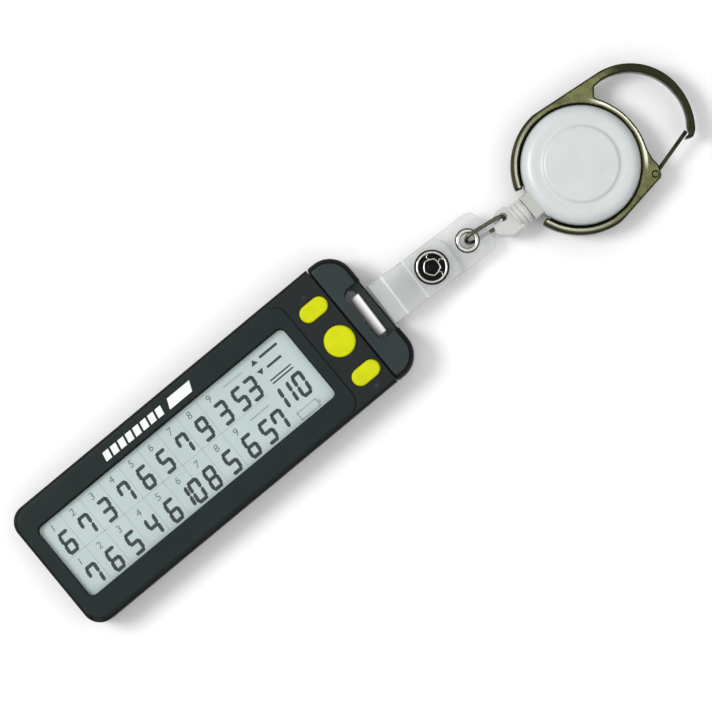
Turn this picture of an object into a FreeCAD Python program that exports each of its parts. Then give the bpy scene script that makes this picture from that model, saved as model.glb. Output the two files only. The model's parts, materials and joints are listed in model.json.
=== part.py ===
import FreeCAD, Part
import math
import os
import re
import Sketcher

# A pocket score counter with a clear strap, a wire link and a retractable reel in a
# carabiner frame. Millimetres. The origin is the centre of the counter's back face:
# +X runs along the counter towards the strap, +Y across it, +Z out of the display.

Vector = FreeCAD.Vector

SIZES = {
    # counter case
    "case_length": 112.4, "case_width": 38.0, "case_height": 11.0, "wall": 1.6,
    "corner_left": 5.0, "corner_right": 7.0, "cap_lip": 0.8, "case_end": 46.8, "panel_top": 10.4,
    "case_split": 6.0, "lid_under": 8.9, "bottom_round": 1.0, "top_round": 1.2,
    # display
    "bezel_left": -55.0, "bezel_right": 35.6, "bezel_half": 17.8, "bezel_under": 10.0,
    "bezel_corner": 4.0, "window_left": -51.9, "window_right": 32.5, "window_low": -11.5,
    "window_high": 12.0, "window_corner": 2.0, "seat_rim": 1.2, "lens_thick": 1.0,
    "glass_left": -54.2, "glass_right": 34.0, "glass_low": -12.9, "glass_high": 13.1,
    "glass_under": 7.3, "glass_top": 8.8,
    # circuit board
    "board_under": 5.2, "board_right": 45.6, "board_half": 16.9,
    "screw_left": -48.0, "screw_pitch": 41.5, "screw_row": 15.3, "screw_core": 1.0,
    "screw_clear": 1.1, "screw_head": 1.9,
    # keys
    "key_column": 41.8, "key_middle": -1.2, "key_pitch": 10.8, "key_long": 8.4,
    "key_short": 4.8, "key_round": 4.25, "key_gap": 0.15, "key_rim": 0.5,
    "key_top": 11.2, "key_foot": 6.45, "key_stem": 1.2, "dome_radius": 3.0,
    # battery
    "cell_place": -41.5, "cell_radius": 10.0, "cell_under": 1.7, "cell_thick": 3.2,
    "door_end": -30.2, "door_half": 10.7, "door_thick": 1.5, "door_gap": 0.2,
    # end cap with the strap bar
    "cap_start": 47.0, "cap_round": 2.2, "slot_left": 50.0, "slot_right": 53.1,
    "slot_half": 7.9, "notch_half": 8.2, "bar_end": 55.9, "bar_centre": 5.5,
    "bar_half": 1.0,
    # strap
    "strap_start": 54.5, "strap_side": -0.7, "strap_tilt": 2.5, "strap_width": 12.4,
    "strap_thick": 0.9, "loop_radius": 2.6, "loop_bulge": 1.0, "crease_one": 6.2, "crease_two": 13.2,
    "flap_end": 25.0, "tail_end": 36.6, "tail_drop": -1.3, "flap_drop": 0.8,
    "snap_place": 18.6, "eyelet_place": 30.5, "eyelet_hole": 2.0, "eyelet_tube": 2.45,
    "eyelet_flange": 3.3, "snap_radius": 4.7, "strap_corner": 3.0,
    # link and cord fitting
    "link_wire": 0.55, "link_bend": 2.2, "link_lean": 28.0,
    "fitting_start": 98.3, "axis_side": -5.65, "axis_height": 5.2, "lug_hole": 1.3,
    "lug_hole_back": 2.1, "lug_hole_side": 2.2, "lug_thick": 2.0, "sleeve_length": 4.0,
    "sleeve_radius": 3.55, "groove_radius": 3.2, "cord_radius": 0.4,
    # reel
    "reel_place": 120.5, "reel_side": -5.9, "reel_radius": 16.0, "reel_half": 4.7,
    "reel_inner": 14.2, "reel_cavity": 3.2, "boss_radius": 10.4, "boss_top": 5.2,
    "reel_round": 3.4, "spool_radius": 12.4, "hub_radius": 9.0, "spring_room": 8.2, "winding_radius": 11.4,
    "post_radius": 1.3, "nozzle_half": 4.25, "nozzle_deep": 3.0, "nozzle_start": -18.0,
    # carabiner
    "ring_inner": 16.3, "ring_outer": 18.4, "frame_half": 2.2,
    "hinge_across": 13.9, "hinge_down": -14.5, "gate_length": 13.65, "gate_angle": 14.8,
    "gate_radius": 0.6, "pin_radius": 0.7, "fork_radius": 3.4, "fork_half": 1.1,
}

RUNNING = 0.05          # radial clearance of a pin that turns in its hole
SEAM = 0.02             # gap round the bezel in its recess
SCREW_COLUMNS = 3
GATE_TRAVEL = 30        # degrees the gate opens
FORK_SPARE = 10         # degrees the fork's slot reaches past the gate on either side

doc = FreeCAD.newDocument("ScoreCounter")
sheet = doc.addObject("Spreadsheet::Sheet", "Sizes")
for row, (alias, number) in enumerate(SIZES.items(), start=1):
    sheet.set(f"A{row}", alias.replace("_", " "))
    sheet.set(f"B{row}", str(number))
    sheet.setAlias(f"B{row}", alias)
doc.recompute()


def value(expression):
    """The number that an expression of sheet names stands for."""
    return float(sheet.evalExpression(str(expression)))


def bind(item, prop, expression):
    """Bind a property to an expression of sheet names."""
    words = re.sub(r"[a-z_]{4,}", lambda m: f"Sizes.{m[0]}" if m[0] in SIZES else m[0], str(expression))
    item.setExpression(prop, words)


# ---------------------------------------------------------------- sketches and features

def new_body(label, x="0", y="0", z="0", turn=None):
    """A body that is one piece, placed by expressions; turn is (axis, degrees)."""
    body = doc.addObject("PartDesign::Body", label)
    body.Label = label
    if turn:
        body.Placement = FreeCAD.Placement(Vector(), FreeCAD.Rotation(Vector(*turn[0]), turn[1]))
    for axis, expression in zip("xyz", (x, y, z)):
        bind(body, f"Placement.Base.{axis}", expression)
    return body


def new_sketch(body, role="XY_Plane", level="0"):
    """A sketch on one of the body's own planes, moved along the plane's normal."""
    sketch = body.newObject("Sketcher::SketchObject", "Outline")
    plane = [item for item in body.Origin.OriginFeatures if item.Role == role][0]
    sketch.AttachmentSupport = [(plane, "")]
    sketch.MapMode = "FlatFace"
    bind(sketch, "AttachmentOffset.Base.z", level)
    return sketch


def fix_point(sketch, geometry, vertex, x, y):
    """Hold a point of the sketch at two expressions."""
    for kind, axis, expression in (("DistanceX", -2, x), ("DistanceY", -1, y)):
        number = value(expression)
        if abs(number) < 1e-9:
            sketch.addConstraint(Sketcher.Constraint("PointOnObject", geometry, vertex, axis))
            continue
        made = sketch.addConstraint(Sketcher.Constraint(kind, -1, 1, geometry, vertex, number))
        bind(sketch, f"Constraints[{made}]", expression)


def draw_polygon(sketch, corners):
    """A closed outline of straight lines through corners given as expressions."""
    spots = [Vector(value(x), value(y), 0) for x, y in corners]
    count = len(spots)
    for index in range(count):
        sketch.addGeometry(Part.LineSegment(spots[index], spots[(index + 1) % count]), False)
    for index in range(count):
        joint = Sketcher.Constraint("Coincident", index, 2, (index + 1) % count, 1)
        sketch.addConstraint(joint)
    for index, (x, y) in enumerate(corners):
        fix_point(sketch, index, 1, x, y)


def draw_circle(sketch, x, y, radius):
    """A circle with its centre and radius given as expressions."""
    spot = Vector(value(x), value(y), 0)
    sketch.addGeometry(Part.Circle(spot, Vector(0, 0, 1), value(radius)), False)
    fix_point(sketch, 0, 3, x, y)
    made = sketch.addConstraint(Sketcher.Constraint("Radius", 0, value(radius)))
    bind(sketch, f"Constraints[{made}]", radius)


def draw_obround(sketch, x, y, half_x, half_y):
    """A slot shape: two half circles joined by two lines along its longer way."""
    centre = Vector(value(x), value(y), 0)
    wide = value(half_x) > value(half_y)
    radius, reach = (half_y, f"{half_x}-({half_y})") if wide else (half_x, f"{half_y}-({half_x})")
    along = Vector(1, 0, 0) if wide else Vector(0, 1, 0)
    side = Vector(0, 1, 0) if wide else Vector(-1, 0, 0)
    size = value(radius)
    ends = [centre + along * value(reach), centre - along * value(reach)]
    for end, sign in zip(ends, (1, -1)):
        first, middle, last = end - side * size * sign, end + along * size * sign, end + side * size * sign
        sketch.addGeometry(Part.Arc(first, middle, last), False)
    sketch.addGeometry(Part.LineSegment(ends[0] + side * size, ends[1] + side * size), False)
    sketch.addGeometry(Part.LineSegment(ends[1] - side * size, ends[0] - side * size), False)
    for pair in ((0, 2, 2, 1), (2, 2, 1, 1), (1, 2, 3, 1), (3, 2, 0, 1)):
        sketch.addConstraint(Sketcher.Constraint("Tangent", *pair))
    shift = (f"+({reach})", f"-({reach})")
    for index in range(2):
        if wide:
            fix_point(sketch, index, 3, f"{x}{shift[index]}", y)
        else:
            fix_point(sketch, index, 3, x, f"{y}{shift[index]}")
    made = sketch.addConstraint(Sketcher.Constraint("Radius", 0, size))
    bind(sketch, f"Constraints[{made}]", radius)


def raise_sketch(body, sketch, height, cut):
    """Pad or pocket a sketch upwards; a pocket has to take something away."""
    before = body.Shape.Volume if cut else 0.0
    kind = "PartDesign::Pocket" if cut else "PartDesign::Pad"
    feature = body.newObject(kind, "Cut" if cut else "Raise")
    feature.Profile = sketch
    feature.Type = 0
    feature.Reversed = cut
    bind(feature, "Length", height)
    doc.recompute()
    if cut and body.Shape.Volume > before - 1e-4:
        raise RuntimeError(f"{body.Label}: a pocket cuts nothing")
    return feature


def block(body, x_low, x_high, y_low, y_high, z_low, z_high, cut=False):
    """A rectangular block between expressions, added or cut."""
    sketch = new_sketch(body, level=z_low)
    corners = [(x_low, y_low), (x_high, y_low), (x_high, y_high), (x_low, y_high)]
    draw_polygon(sketch, corners)
    return raise_sketch(body, sketch, f"({z_high})-({z_low})", cut)


def disc(body, x, y, radius, z_low, z_high, cut=False):
    """A round block between two levels, added or cut."""
    sketch = new_sketch(body, level=z_low)
    draw_circle(sketch, x, y, radius)
    return raise_sketch(body, sketch, f"({z_high})-({z_low})", cut)


def obround(body, x, y, half_x, half_y, z_low, z_high, cut=False):
    """A slot-shaped block between two levels, added or cut."""
    sketch = new_sketch(body, level=z_low)
    draw_obround(sketch, x, y, half_x, half_y)
    return raise_sketch(body, sketch, f"({z_high})-({z_low})", cut)


def turn_profile(body, corners, cut=False):
    """Revolve a closed outline in the XZ plane about the body's Z axis."""
    sketch = new_sketch(body, role="XZ_Plane")
    draw_polygon(sketch, corners)
    feature = body.newObject("PartDesign::Groove" if cut else "PartDesign::Revolution", "Turn")
    feature.Profile = sketch
    feature.ReferenceAxis = (sketch, ["V_Axis"])
    feature.Angle = 360
    doc.recompute()
    return feature


def round_edges(body, radius, chosen, chamfer=False):
    """Fillet or chamfer the tip's edges that the test chooses, in the body's own frame."""
    tip = body.Tip
    names = [f"Edge{number}" for number, edge in enumerate(tip.Shape.Edges, start=1) if chosen(edge)]
    if not names:
        raise RuntimeError(f"{body.Label}: no edge to round")
    feature = body.newObject("PartDesign::Chamfer" if chamfer else "PartDesign::Fillet", "Round")
    feature.Base = (tip, names)
    bind(feature, "Size" if chamfer else "Radius", radius)
    doc.recompute()
    return feature


def is_upright(edge):
    """True for a straight edge along Z."""
    if not isinstance(edge.Curve, Part.Line):
        return False
    return abs(edge.tangentAt(edge.FirstParameter).z) > 0.999


def at_level(edge, level):
    """True for an edge that lies at one height."""
    box = edge.BoundBox
    return abs(box.ZMin - level) < 1e-4 and abs(box.ZMax - level) < 1e-4


def shape_piece(label, shape, place=None):
    """A piece whose shape is made by Part's own functions from the sheet's numbers."""
    piece = doc.addObject("Part::Feature", label)
    piece.Label = label
    piece.Shape = shape.removeSplitter()
    piece.Placement = place or FreeCAD.Placement()
    return piece


def outline_face(steps):
    """A flat face from (point) line steps and (middle, point) arc steps, in X and Y."""
    start = Vector(*steps[0][-1], 0)
    here = start
    edges = []
    for step in list(steps[1:]) + [(steps[0][-1],)]:
        goal = Vector(*step[-1], 0)
        if len(step) == 2:
            edges.append(Part.Arc(here, Vector(*step[0], 0), goal).toShape())
        elif (goal - here).Length > 1e-6:
            edges.append(Part.LineSegment(here, goal).toShape())
        here = goal
    return Part.Face(Part.Wire(edges))


# ---------------------------------------------------------------- counter case

def screw_spots():
    """Expressions for the six case screws: three columns, both rows."""
    columns = [f"screw_left+{column}*screw_pitch" for column in range(SCREW_COLUMNS)]
    return [(x, y) for x in columns for y in ("screw_row", "-screw_row")]


def add_hull(body, z_low, z_high):
    """The case's outline between two levels, square at the end that meets the cap."""
    block(body, "-case_length/2", "case_end", "-case_width/2", "case_width/2", z_low, z_high)
    round_edges(body, "corner_left", lambda e: is_upright(e) and e.CenterOfMass.x < 0)


def outer_rim(edge, level):
    """Edges of the hull's rim at a level, without the one that meets the end cap."""
    return at_level(edge, level) and edge.CenterOfMass.x < value("case_end") - 0.01


def rear_case():
    body = new_body("rear_case")
    add_hull(body, "0", "case_split")
    round_edges(body, "bottom_round", lambda e: outer_rim(e, 0))
    block(body, "wall-case_length/2", "case_end+1", "wall-case_width/2", "case_width/2-wall",
          "wall", "case_split", cut=True)
    for x, y in screw_spots():
        top = "board_under" if "+2*" not in x else "board_under-2.05"
        disc(body, x, y, "screw_head+0.7", "wall", top)
        disc(body, x, y, "screw_clear", "0.5", "board_under", cut=True)
        disc(body, x, y, "screw_head+0.1", "-1", "1.2", cut=True)
    block(body, "door_end+0.4", "door_end+1.6", "-cell_radius", "cell_radius", "wall", "cell_under+cell_thick-0.1")
    block(body, "wall-case_length/2-0.2", "cell_place-cell_radius-0.3", "-4", "4", "wall",
          "cell_under+cell_thick-0.1")
    block(body, "-case_length/2-1", "door_end+door_gap", "-door_half-door_gap", "door_half+door_gap",
          "-1", "wall", cut=True)
    block(body, "-case_length/2-1", "door_end+door_gap", "-door_half-1", "door_half+1",
          "0.5", "1.1", cut=True)
    return body


def front_case():
    body = new_body("front_case")
    add_hull(body, "case_split", "panel_top")
    round_edges(body, "top_round", lambda e: outer_rim(e, value("panel_top")))
    block(body, "wall-case_length/2", "case_end+1", "wall-case_width/2", "case_width/2-wall",
          "case_split-1", "lid_under", cut=True)
    block(body, "window_left-seat_rim", "window_right+seat_rim", "window_low-seat_rim",
          "window_high+seat_rim", "lid_under-1", "panel_top+1", cut=True)
    recess = new_sketch(body, level="bezel_under")
    side = f"(bezel_half+{SEAM})"
    left, right = f"bezel_left-{SEAM}", f"bezel_right+{SEAM}"
    draw_polygon(recess, [(left, f"-{side}"), (right, f"-{side}"), (right, side), (left, side)])
    raise_sketch(body, recess, "2", True)
    round_edges(body, "bezel_corner",
                lambda e: is_upright(e) and abs(abs(e.CenterOfMass.y) - value(side)) < 0.01
                and e.CenterOfMass.z > value("bezel_under"))
    for x, y in screw_spots():
        disc(body, x, y, "screw_core+1", "case_split", "lid_under")
        disc(body, x, y, "screw_core", "case_split-1", "lid_under+0.4", cut=True)
    disc(body, "key_column", "key_middle", "key_round+key_gap", "lid_under-1", "panel_top+1", cut=True)
    for side in ("+", "-"):
        obround(body, "key_column", f"key_middle{side}key_pitch", "key_long/2+key_gap",
                "key_short/2+key_gap", "lid_under-1", "panel_top+1", cut=True)
    return body


def display_bezel():
    body = new_body("display_bezel")
    block(body, "bezel_left", "bezel_right", "-bezel_half", "bezel_half", "bezel_under", "case_height")
    round_edges(body, "bezel_corner", is_upright)
    round_edges(body, "0.45", lambda e: at_level(e, value("case_height")))
    block(body, "window_left", "window_right", "window_low", "window_high",
          "bezel_under-1", "case_height+1", cut=True)
    low, high = value("window_low") - 0.1, value("window_high") + 0.1
    left, right = value("window_left") - 0.1, value("window_right") + 0.1
    round_edges(body, "window_corner", lambda e: is_upright(e) and low < e.CenterOfMass.y < high
                and left < e.CenterOfMass.x < right)
    return body


def end_cap():
    body = new_body("end_cap")
    block(body, "cap_start", "case_length/2", "-case_width/2", "case_width/2", "0", "case_height")
    start = value("cap_start") + 0.01
    round_edges(body, "corner_right", lambda e: is_upright(e) and e.CenterOfMass.x > start)
    round_edges(body, "cap_round", lambda e: at_level(e, value("case_height")) and e.CenterOfMass.x > start)
    round_edges(body, "bottom_round", lambda e: at_level(e, 0) and e.CenterOfMass.x > start)
    round_edges(body, "cap_lip", lambda e: e.BoundBox.XMax < start and e.BoundBox.ZMax > value("bottom_round"))
    block(body, "cap_start-1.1", "cap_start", "-case_width/2+wall+0.05", "case_width/2-wall-0.05",
          "wall+0.05", "key_foot+0.5")
    for side in ("-", ""):
        inner, outer = sorted((f"{side}(screw_row-2.3)", f"{side}(screw_row+1.9)"), key=value)
        block(body, "screw_left+2*screw_pitch-2.4", "cap_start", inner, outer,
              "board_under-2", "board_under-0.05")
        disc(body, "screw_left+2*screw_pitch", f"{side}screw_row", "screw_clear",
             "board_under-3", "board_under+1", cut=True)
    obround(body, "(slot_left+slot_right)/2", "0", "(slot_right-slot_left)/2", "slot_half",
            "-1", "case_height+1", cut=True)
    notch = ("slot_left+1.5", "case_length/2+1", "-notch_half", "notch_half")
    block(body, *notch, "bar_centre+bar_half", "case_height+1", cut=True)
    block(body, *notch, "-1", "bar_centre-bar_half", cut=True)
    block(body, "bar_end", "case_length/2+1", "-notch_half", "notch_half",
          "bar_centre-2", "bar_centre+2", cut=True)
    round_edges(body, "0.8", lambda e: isinstance(e.Curve, Part.Line)
                and abs(e.CenterOfMass.x - value("bar_end")) < 1e-3 and e.Length > 10)
    return body


def battery_door():
    body = new_body("battery_door")
    block(body, "-case_length/2", "door_end", "-door_half", "door_half", "0", "door_thick")
    round_edges(body, "bottom_round", lambda e: at_level(e, 0) and e.CenterOfMass.x < value("cell_place-12"))
    block(body, "-case_length/2+1.5", "door_end", "-door_half-0.8", "door_half+0.8", "0.55", "1.05")
    for ridge in range(5):
        left = f"cell_place-8+{1.4 * ridge:.1f}"
        block(body, left, f"{left}+0.7", "-4.5", "4.5", "-1", "0.35", cut=True)
    return body


def case_screws():
    """Six pan-head case screws in counterbores, one node of separate solids."""
    screws = []
    for x, y in screw_spots():
        core = Part.makeCylinder(value("screw_core"), value("lid_under") - 1.2, Vector(0, 0, 1.2))
        head = Part.makeCylinder(value("screw_head"), 0.9, Vector(0, 0, 0.3))
        screw = core.fuse(head).removeSplitter()
        for turn in (0, 90):
            bar = Part.makeBox(2.6, 0.5, 0.6, Vector(-1.3, -0.25, 0.2))
            bar.rotate(Vector(), Vector(0, 0, 1), turn)
            screw = screw.cut(bar)
        screw.translate(Vector(value(x), value(y), 0))
        screws.append(screw)
    return shape_piece("case_screws", Part.makeCompound(screws))


# ---------------------------------------------------------------- display, board and keys

def lens_window():
    body = new_body("lens_window")
    rim = "seat_rim-0.1"
    block(body, f"window_left-({rim})", f"window_right+{rim}", f"window_low-({rim})", f"window_high+{rim}",
          "bezel_under-lens_thick", "bezel_under")
    return body


def lcd_panel():
    body = new_body("lcd_panel")
    block(body, "glass_left", "glass_right", "glass_low", "glass_high", "glass_under", "glass_top")
    return body


def lcd_frame():
    """The moulded frame that spaces the display from the board."""
    body = new_body("lcd_frame")
    block(body, "glass_left", "glass_right", "glass_low", "glass_high", "case_split", "glass_under")
    block(body, "glass_left+4", "glass_right-3", "-9", "9", "case_split-1", "glass_under+1", cut=True)
    for side in ("-", ""):
        low, high = sorted((f"{side}10.4", f"{side}12.1"), key=value)
        block(body, "glass_left+4", "glass_right-4", low, high, "case_split-1", "glass_under+1", cut=True)
    return body


def zebra_strips():
    """Two rubber connectors between the board and the display's edges."""
    strips = []
    for side in (-1, 1):
        length = value("glass_right-glass_left-8.4")
        strip = Part.makeBox(length, 1.5, value("glass_under-case_split"))
        low = 10.5 if side > 0 else -12.0
        strip.translate(Vector(value("glass_left+4.2"), low, value("case_split")))
        strips.append(strip)
    return shape_piece("zebra_strips", Part.makeCompound(strips))


def main_board():
    body = new_body("main_board")
    block(body, "glass_left", "board_right", "-board_half", "board_half", "board_under", "case_split")
    for x, y in screw_spots():
        disc(body, x, y, "screw_clear", "board_under-1", "case_split+1", cut=True)
    return body


def controller_chip():
    body = new_body("controller_chip", "2", "0", "board_under-1.3")
    disc(body, "0", "0", "5.5", "0", "1.3")
    round_edges(body, "0.9", lambda e: at_level(e, 0))
    return body


def timing_crystal():
    body = new_body("timing_crystal", "16", "-6", "board_under-1.1", turn=((0, 1, 0), 90))
    disc(body, "0", "0", "1.0", "0", "6")
    round_edges(body, "0.25", lambda e: isinstance(e.Curve, Part.Circle))
    return body


def board_capacitors():
    parts = []
    for step in range(3):
        part = Part.makeBox(2.0, 1.25, 0.9, Vector(14 + 4 * step, 4, value("board_under") - 0.9))
        parts.append(part)
    return shape_piece("board_capacitors", Part.makeCompound(parts))


def coin_cell():
    body = new_body("coin_cell", "cell_place", "0", "cell_under")
    disc(body, "0", "0", "cell_radius", "0", "cell_thick-0.6")
    disc(body, "0", "0", "cell_radius-1.2", "cell_thick-0.6", "cell_thick")
    round_edges(body, "0.3", lambda e: at_level(e, 0))
    return body


def battery_contact_negative():
    """A leaf under the board that presses on the cell's inner face."""
    body = new_body("battery_contact_negative", "cell_place", "0", "cell_under+cell_thick")
    block(body, "-5", "5", "-2", "2", "0", "0.15")
    block(body, "4.6", "5", "-2", "2", "0", "board_under-cell_under-cell_thick")
    return body


def battery_contact_positive():
    """A spring plate that stands beside the cell's rim."""
    body = new_body("battery_contact_positive", "cell_place", "cell_radius+0.05", "cell_under")
    block(body, "-4", "4", "0", "0.3", "0.3", "board_under-cell_under")
    block(body, "-4", "4", "0.3", "2", "board_under-cell_under-0.3", "board_under-cell_under")
    return body


def key_place(which):
    """Expression for a key's place across the counter."""
    return {"key_up": "key_middle+key_pitch", "key_select": "key_middle", "key_down": "key_middle-key_pitch"}[which]


def key_cap(which):
    """A yellow key: cap, retaining rim under the panel and a stem over its dome."""
    body = new_body(which, "key_column", key_place(which), "0")
    disc(body, "0", "0", "key_stem", "key_foot", "lid_under-1.0")
    if which == "key_select":
        disc(body, "0", "0", "key_round+key_rim", "lid_under-1.1", "lid_under-0.1")
        disc(body, "0", "0", "key_round", "lid_under-0.1", "key_top")
    else:
        obround(body, "0", "0", "key_long/2+key_rim", "key_short/2+key_rim", "lid_under-1.1", "lid_under-0.1")
        obround(body, "0", "0", "key_long/2", "key_short/2", "lid_under-0.1", "key_top")
    round_edges(body, "0.6", lambda e: at_level(e, value("key_top")))
    return body


def snap_dome(which):
    """The thin metal dome that a key's stem snaps down."""
    body = new_body(which.replace("key", "dome"), "key_column", key_place(which), "case_split")
    rim = "dome_radius"
    turn_profile(body, [(rim, "0"), (rim, "0.1"), (f"{rim}-1.2", "0.35"), ("0.6", "0.42"), ("0", "0.42"),
                        ("0", "0.32"), ("0.6", "0.32"), (f"{rim}-1.3", "0.25"), (f"{rim}-0.3", "0")])
    return body


# ---------------------------------------------------------------- strap and its hardware

def strap_frame(along="0", up="0"):
    """Place expressions of a point on the strap's middle line."""
    return (f"strap_start+({along})*cos(strap_tilt)", f"strap_side-({along})*sin(strap_tilt)",
            f"bar_centre+({up})")


def strap_placement():
    """The strap's own frame: its loop's axis is Y, and it runs along X."""
    place = Vector(*[value(word) for word in strap_frame()])
    return FreeCAD.Placement(place, FreeCAD.Rotation(Vector(0, 0, 1), -value("strap_tilt")))


def strip(points):
    """Outline of a strip of the strap's thickness along a bent line in X and Z."""
    half = value("strap_thick") / 2
    upper, lower = [], []
    for index, (x, z) in enumerate(points):
        before = points[max(index - 1, 0)]
        after = points[min(index + 1, len(points) - 1)]
        one = math.atan2(z - before[1], x - before[0]) if index else math.atan2(after[1] - z, after[0] - x)
        two = math.atan2(after[1] - z, after[0] - x) if index < len(points) - 1 else one
        middle, spread = (one + two) / 2, half / math.cos((two - one) / 2)
        upper.append((x - spread * math.sin(middle), z + spread * math.cos(middle)))
        lower.append((x + spread * math.sin(middle), z - spread * math.cos(middle)))
    return upper, lower


def extrude_strip(face):
    """Turn a face drawn in X and Z on the XY plane into the strap's width along Y."""
    width = value("strap_width")
    solid = face.extrude(Vector(0, 0, width))
    solid.rotate(Vector(), Vector(1, 0, 0), 90)
    solid.translate(Vector(0, width / 2, 0))
    return solid


def round_tip(solid, reach):
    """Round the two corners of a strap end."""
    corners = [e for e in solid.Edges if is_upright(e) and abs(e.CenterOfMass.x - reach) < 1e-3]
    return solid.makeFillet(value("strap_corner"), corners)


def strap_tail():
    """The strap's loop round the bar and the long lower layer with the eyelet."""
    half, loop = value("strap_thick") / 2, value("loop_radius")
    top_end = value("crease_one") - half - 0.15
    line = [(0, -loop), (value("crease_one-2"), -loop), (value("crease_two-3"), value("tail_drop")),
            (value("tail_end"), value("tail_drop"))]
    inner, outer = strip(line)
    big, small, bulge = loop + half, loop - half, value("loop_bulge")
    steps = [((top_end, big),), ((0, big),), ((-big - bulge, 0), (0, -big))]
    steps += [(point,) for point in outer[1:]] + [(point,) for point in reversed(inner[1:])]
    steps += [((0, -small),), ((-small - bulge, 0), (0, small)), ((top_end, small),)]
    solid = round_tip(extrude_strip(outline_face(steps)), value("tail_end"))
    for place, radius in (("eyelet_place", "eyelet_tube"), ("snap_place", "1.0")):
        hole = Part.makeCylinder(value(radius), 6, Vector(value(place), 0, value("tail_drop") - 3))
        solid = solid.cut(hole)
    return shape_piece("strap_tail", solid, strap_placement())


def strap_flap():
    """The upper layer, from its first crease to the end past the snap."""
    half, level = value("strap_thick") / 2, value("loop_radius")
    start = value("crease_one")
    line = [(start, level), (start + 0.6, level), (value("crease_two"), value("flap_drop")),
            (value("flap_end"), value("flap_drop"))]
    upper, lower = strip(line)
    steps = [(lower[0],), ((start - half, level), upper[0])]
    steps += [(point,) for point in upper[1:]] + [(point,) for point in reversed(lower[1:])]
    solid = round_tip(extrude_strip(outline_face(steps)), value("flap_end"))
    hole = Part.makeCylinder(1.0, 6, Vector(value("snap_place"), 0, value("flap_drop") - 3))
    return shape_piece("strap_flap", solid.cut(hole), strap_placement())


def strap_metal(label, along, level, corners):
    """A turned fitting on the strap; its level is that of the layer's middle."""
    body = new_body(label, *strap_frame(along, level), turn=((0, 0, 1), -value("strap_tilt")))
    turn_profile(body, corners)
    return body


def eyelet():
    tube, skin = "eyelet_tube", "strap_thick/2"
    return strap_metal("eyelet", "eyelet_place", "tail_drop",
                       [("eyelet_hole", f"-({skin})-0.45"), (tube, f"-({skin})-0.45"), (tube, skin),
                        ("eyelet_flange", skin), ("eyelet_flange-0.1", f"{skin}+0.2"),
                        ("eyelet_tube+0.3", f"{skin}+0.42"), ("eyelet_hole", f"{skin}+0.2")])


def eyelet_washer():
    skin = "strap_thick/2"
    return strap_metal("eyelet_washer", "eyelet_place", "tail_drop",
                       [("eyelet_tube", f"-({skin})-0.4"), ("eyelet_flange", f"-({skin})-0.3"),
                        ("eyelet_flange", f"-({skin})"), ("eyelet_tube", f"-({skin})")])


def snap_cap():
    """The ring on top of the flap, with its rivet through the strap."""
    skin, rim = "strap_thick/2", "snap_radius"
    return strap_metal("snap_cap", "snap_place", "flap_drop",
                       [("0", "-0.4"), ("1.0", "-0.4"), ("1.0", skin), (rim, skin), (rim, f"{skin}+0.4"),
                        (f"{rim}-0.4", f"{skin}+0.75"), (f"{rim}-1.0", f"{skin}+0.75"),
                        (f"{rim}-1.2", f"{skin}+0.25"), ("1.2", f"{skin}+0.25"), ("0.9", f"{skin}+0.5"),
                        ("0", f"{skin}+0.5")])


def snap_socket():
    """The ring under the flap that grips the stud."""
    skin = "strap_thick/2"
    return strap_metal("snap_socket", "snap_place", "flap_drop",
                       [("1.9", f"-({skin})"), ("4.2", f"-({skin})"), ("4.2", f"-({skin})-0.5"),
                        ("3.4", f"-({skin})-0.75"), ("1.9", f"-({skin})-0.75")])


def snap_stud():
    """The stud on top of the tail."""
    skin = "strap_thick/2"
    return strap_metal("snap_stud", "snap_place", "tail_drop",
                       [("0", "0.3"), ("1.0", "0.3"), ("1.0", skin), ("3.8", skin), ("3.8", f"{skin}+0.25"),
                        ("1.7", f"{skin}+0.35"), ("1.8", f"{skin}+0.9"), ("1.5", f"{skin}+1.1"),
                        ("0", f"{skin}+1.1")])


def snap_post():
    """The rivet under the tail that holds the stud."""
    skin = "strap_thick/2"
    return strap_metal("snap_post", "snap_place", "tail_drop",
                       [("0", f"-({skin})-0.5"), ("3.2", f"-({skin})-0.4"), ("3.5", f"-({skin})"),
                        ("1.0", f"-({skin})"), ("1.0", "0.3"), ("0", "0.3")])


# ---------------------------------------------------------------- link and cord fitting

def lug_hole_centre():
    """The fitting's hole: beside its axis, in a plate that is rolled about X."""
    lean = math.radians(value("link_lean"))
    side = value("lug_hole_side")
    return Vector(value("fitting_start-lug_hole_back"), value("axis_side") + side * math.cos(lean),
                  value("axis_height") - side * math.sin(lean))


def link_ring():
    """A long wire loop through the eyelet and the fitting's hole."""
    lean = math.radians(value("link_lean"))
    bend, wire = value("link_bend"), value("link_wire")
    first = Vector(*[value(word) for word in strap_frame("eyelet_place-0.3", "tail_drop")])
    last = lug_hole_centre() + Vector(0.2, 0, 0)
    along = (last - first).normalize()
    up = Vector(0, math.sin(lean), math.cos(lean))
    up = (up - along * up.dot(along)).normalize()
    near, far = first + along * bend, last - along * bend
    runs = [Part.LineSegment(near + up * bend, far + up * bend), Part.Arc(far + up * bend, last, far - up * bend),
            Part.LineSegment(far - up * bend, near - up * bend), Part.Arc(near - up * bend, first, near + up * bend)]
    path = Part.Wire([run.toShape() for run in runs])
    section = Part.Wire([Part.makeCircle(wire, near + up * bend, along)])
    return shape_piece("link_ring", path.makePipeShell([section], True, False))


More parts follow.
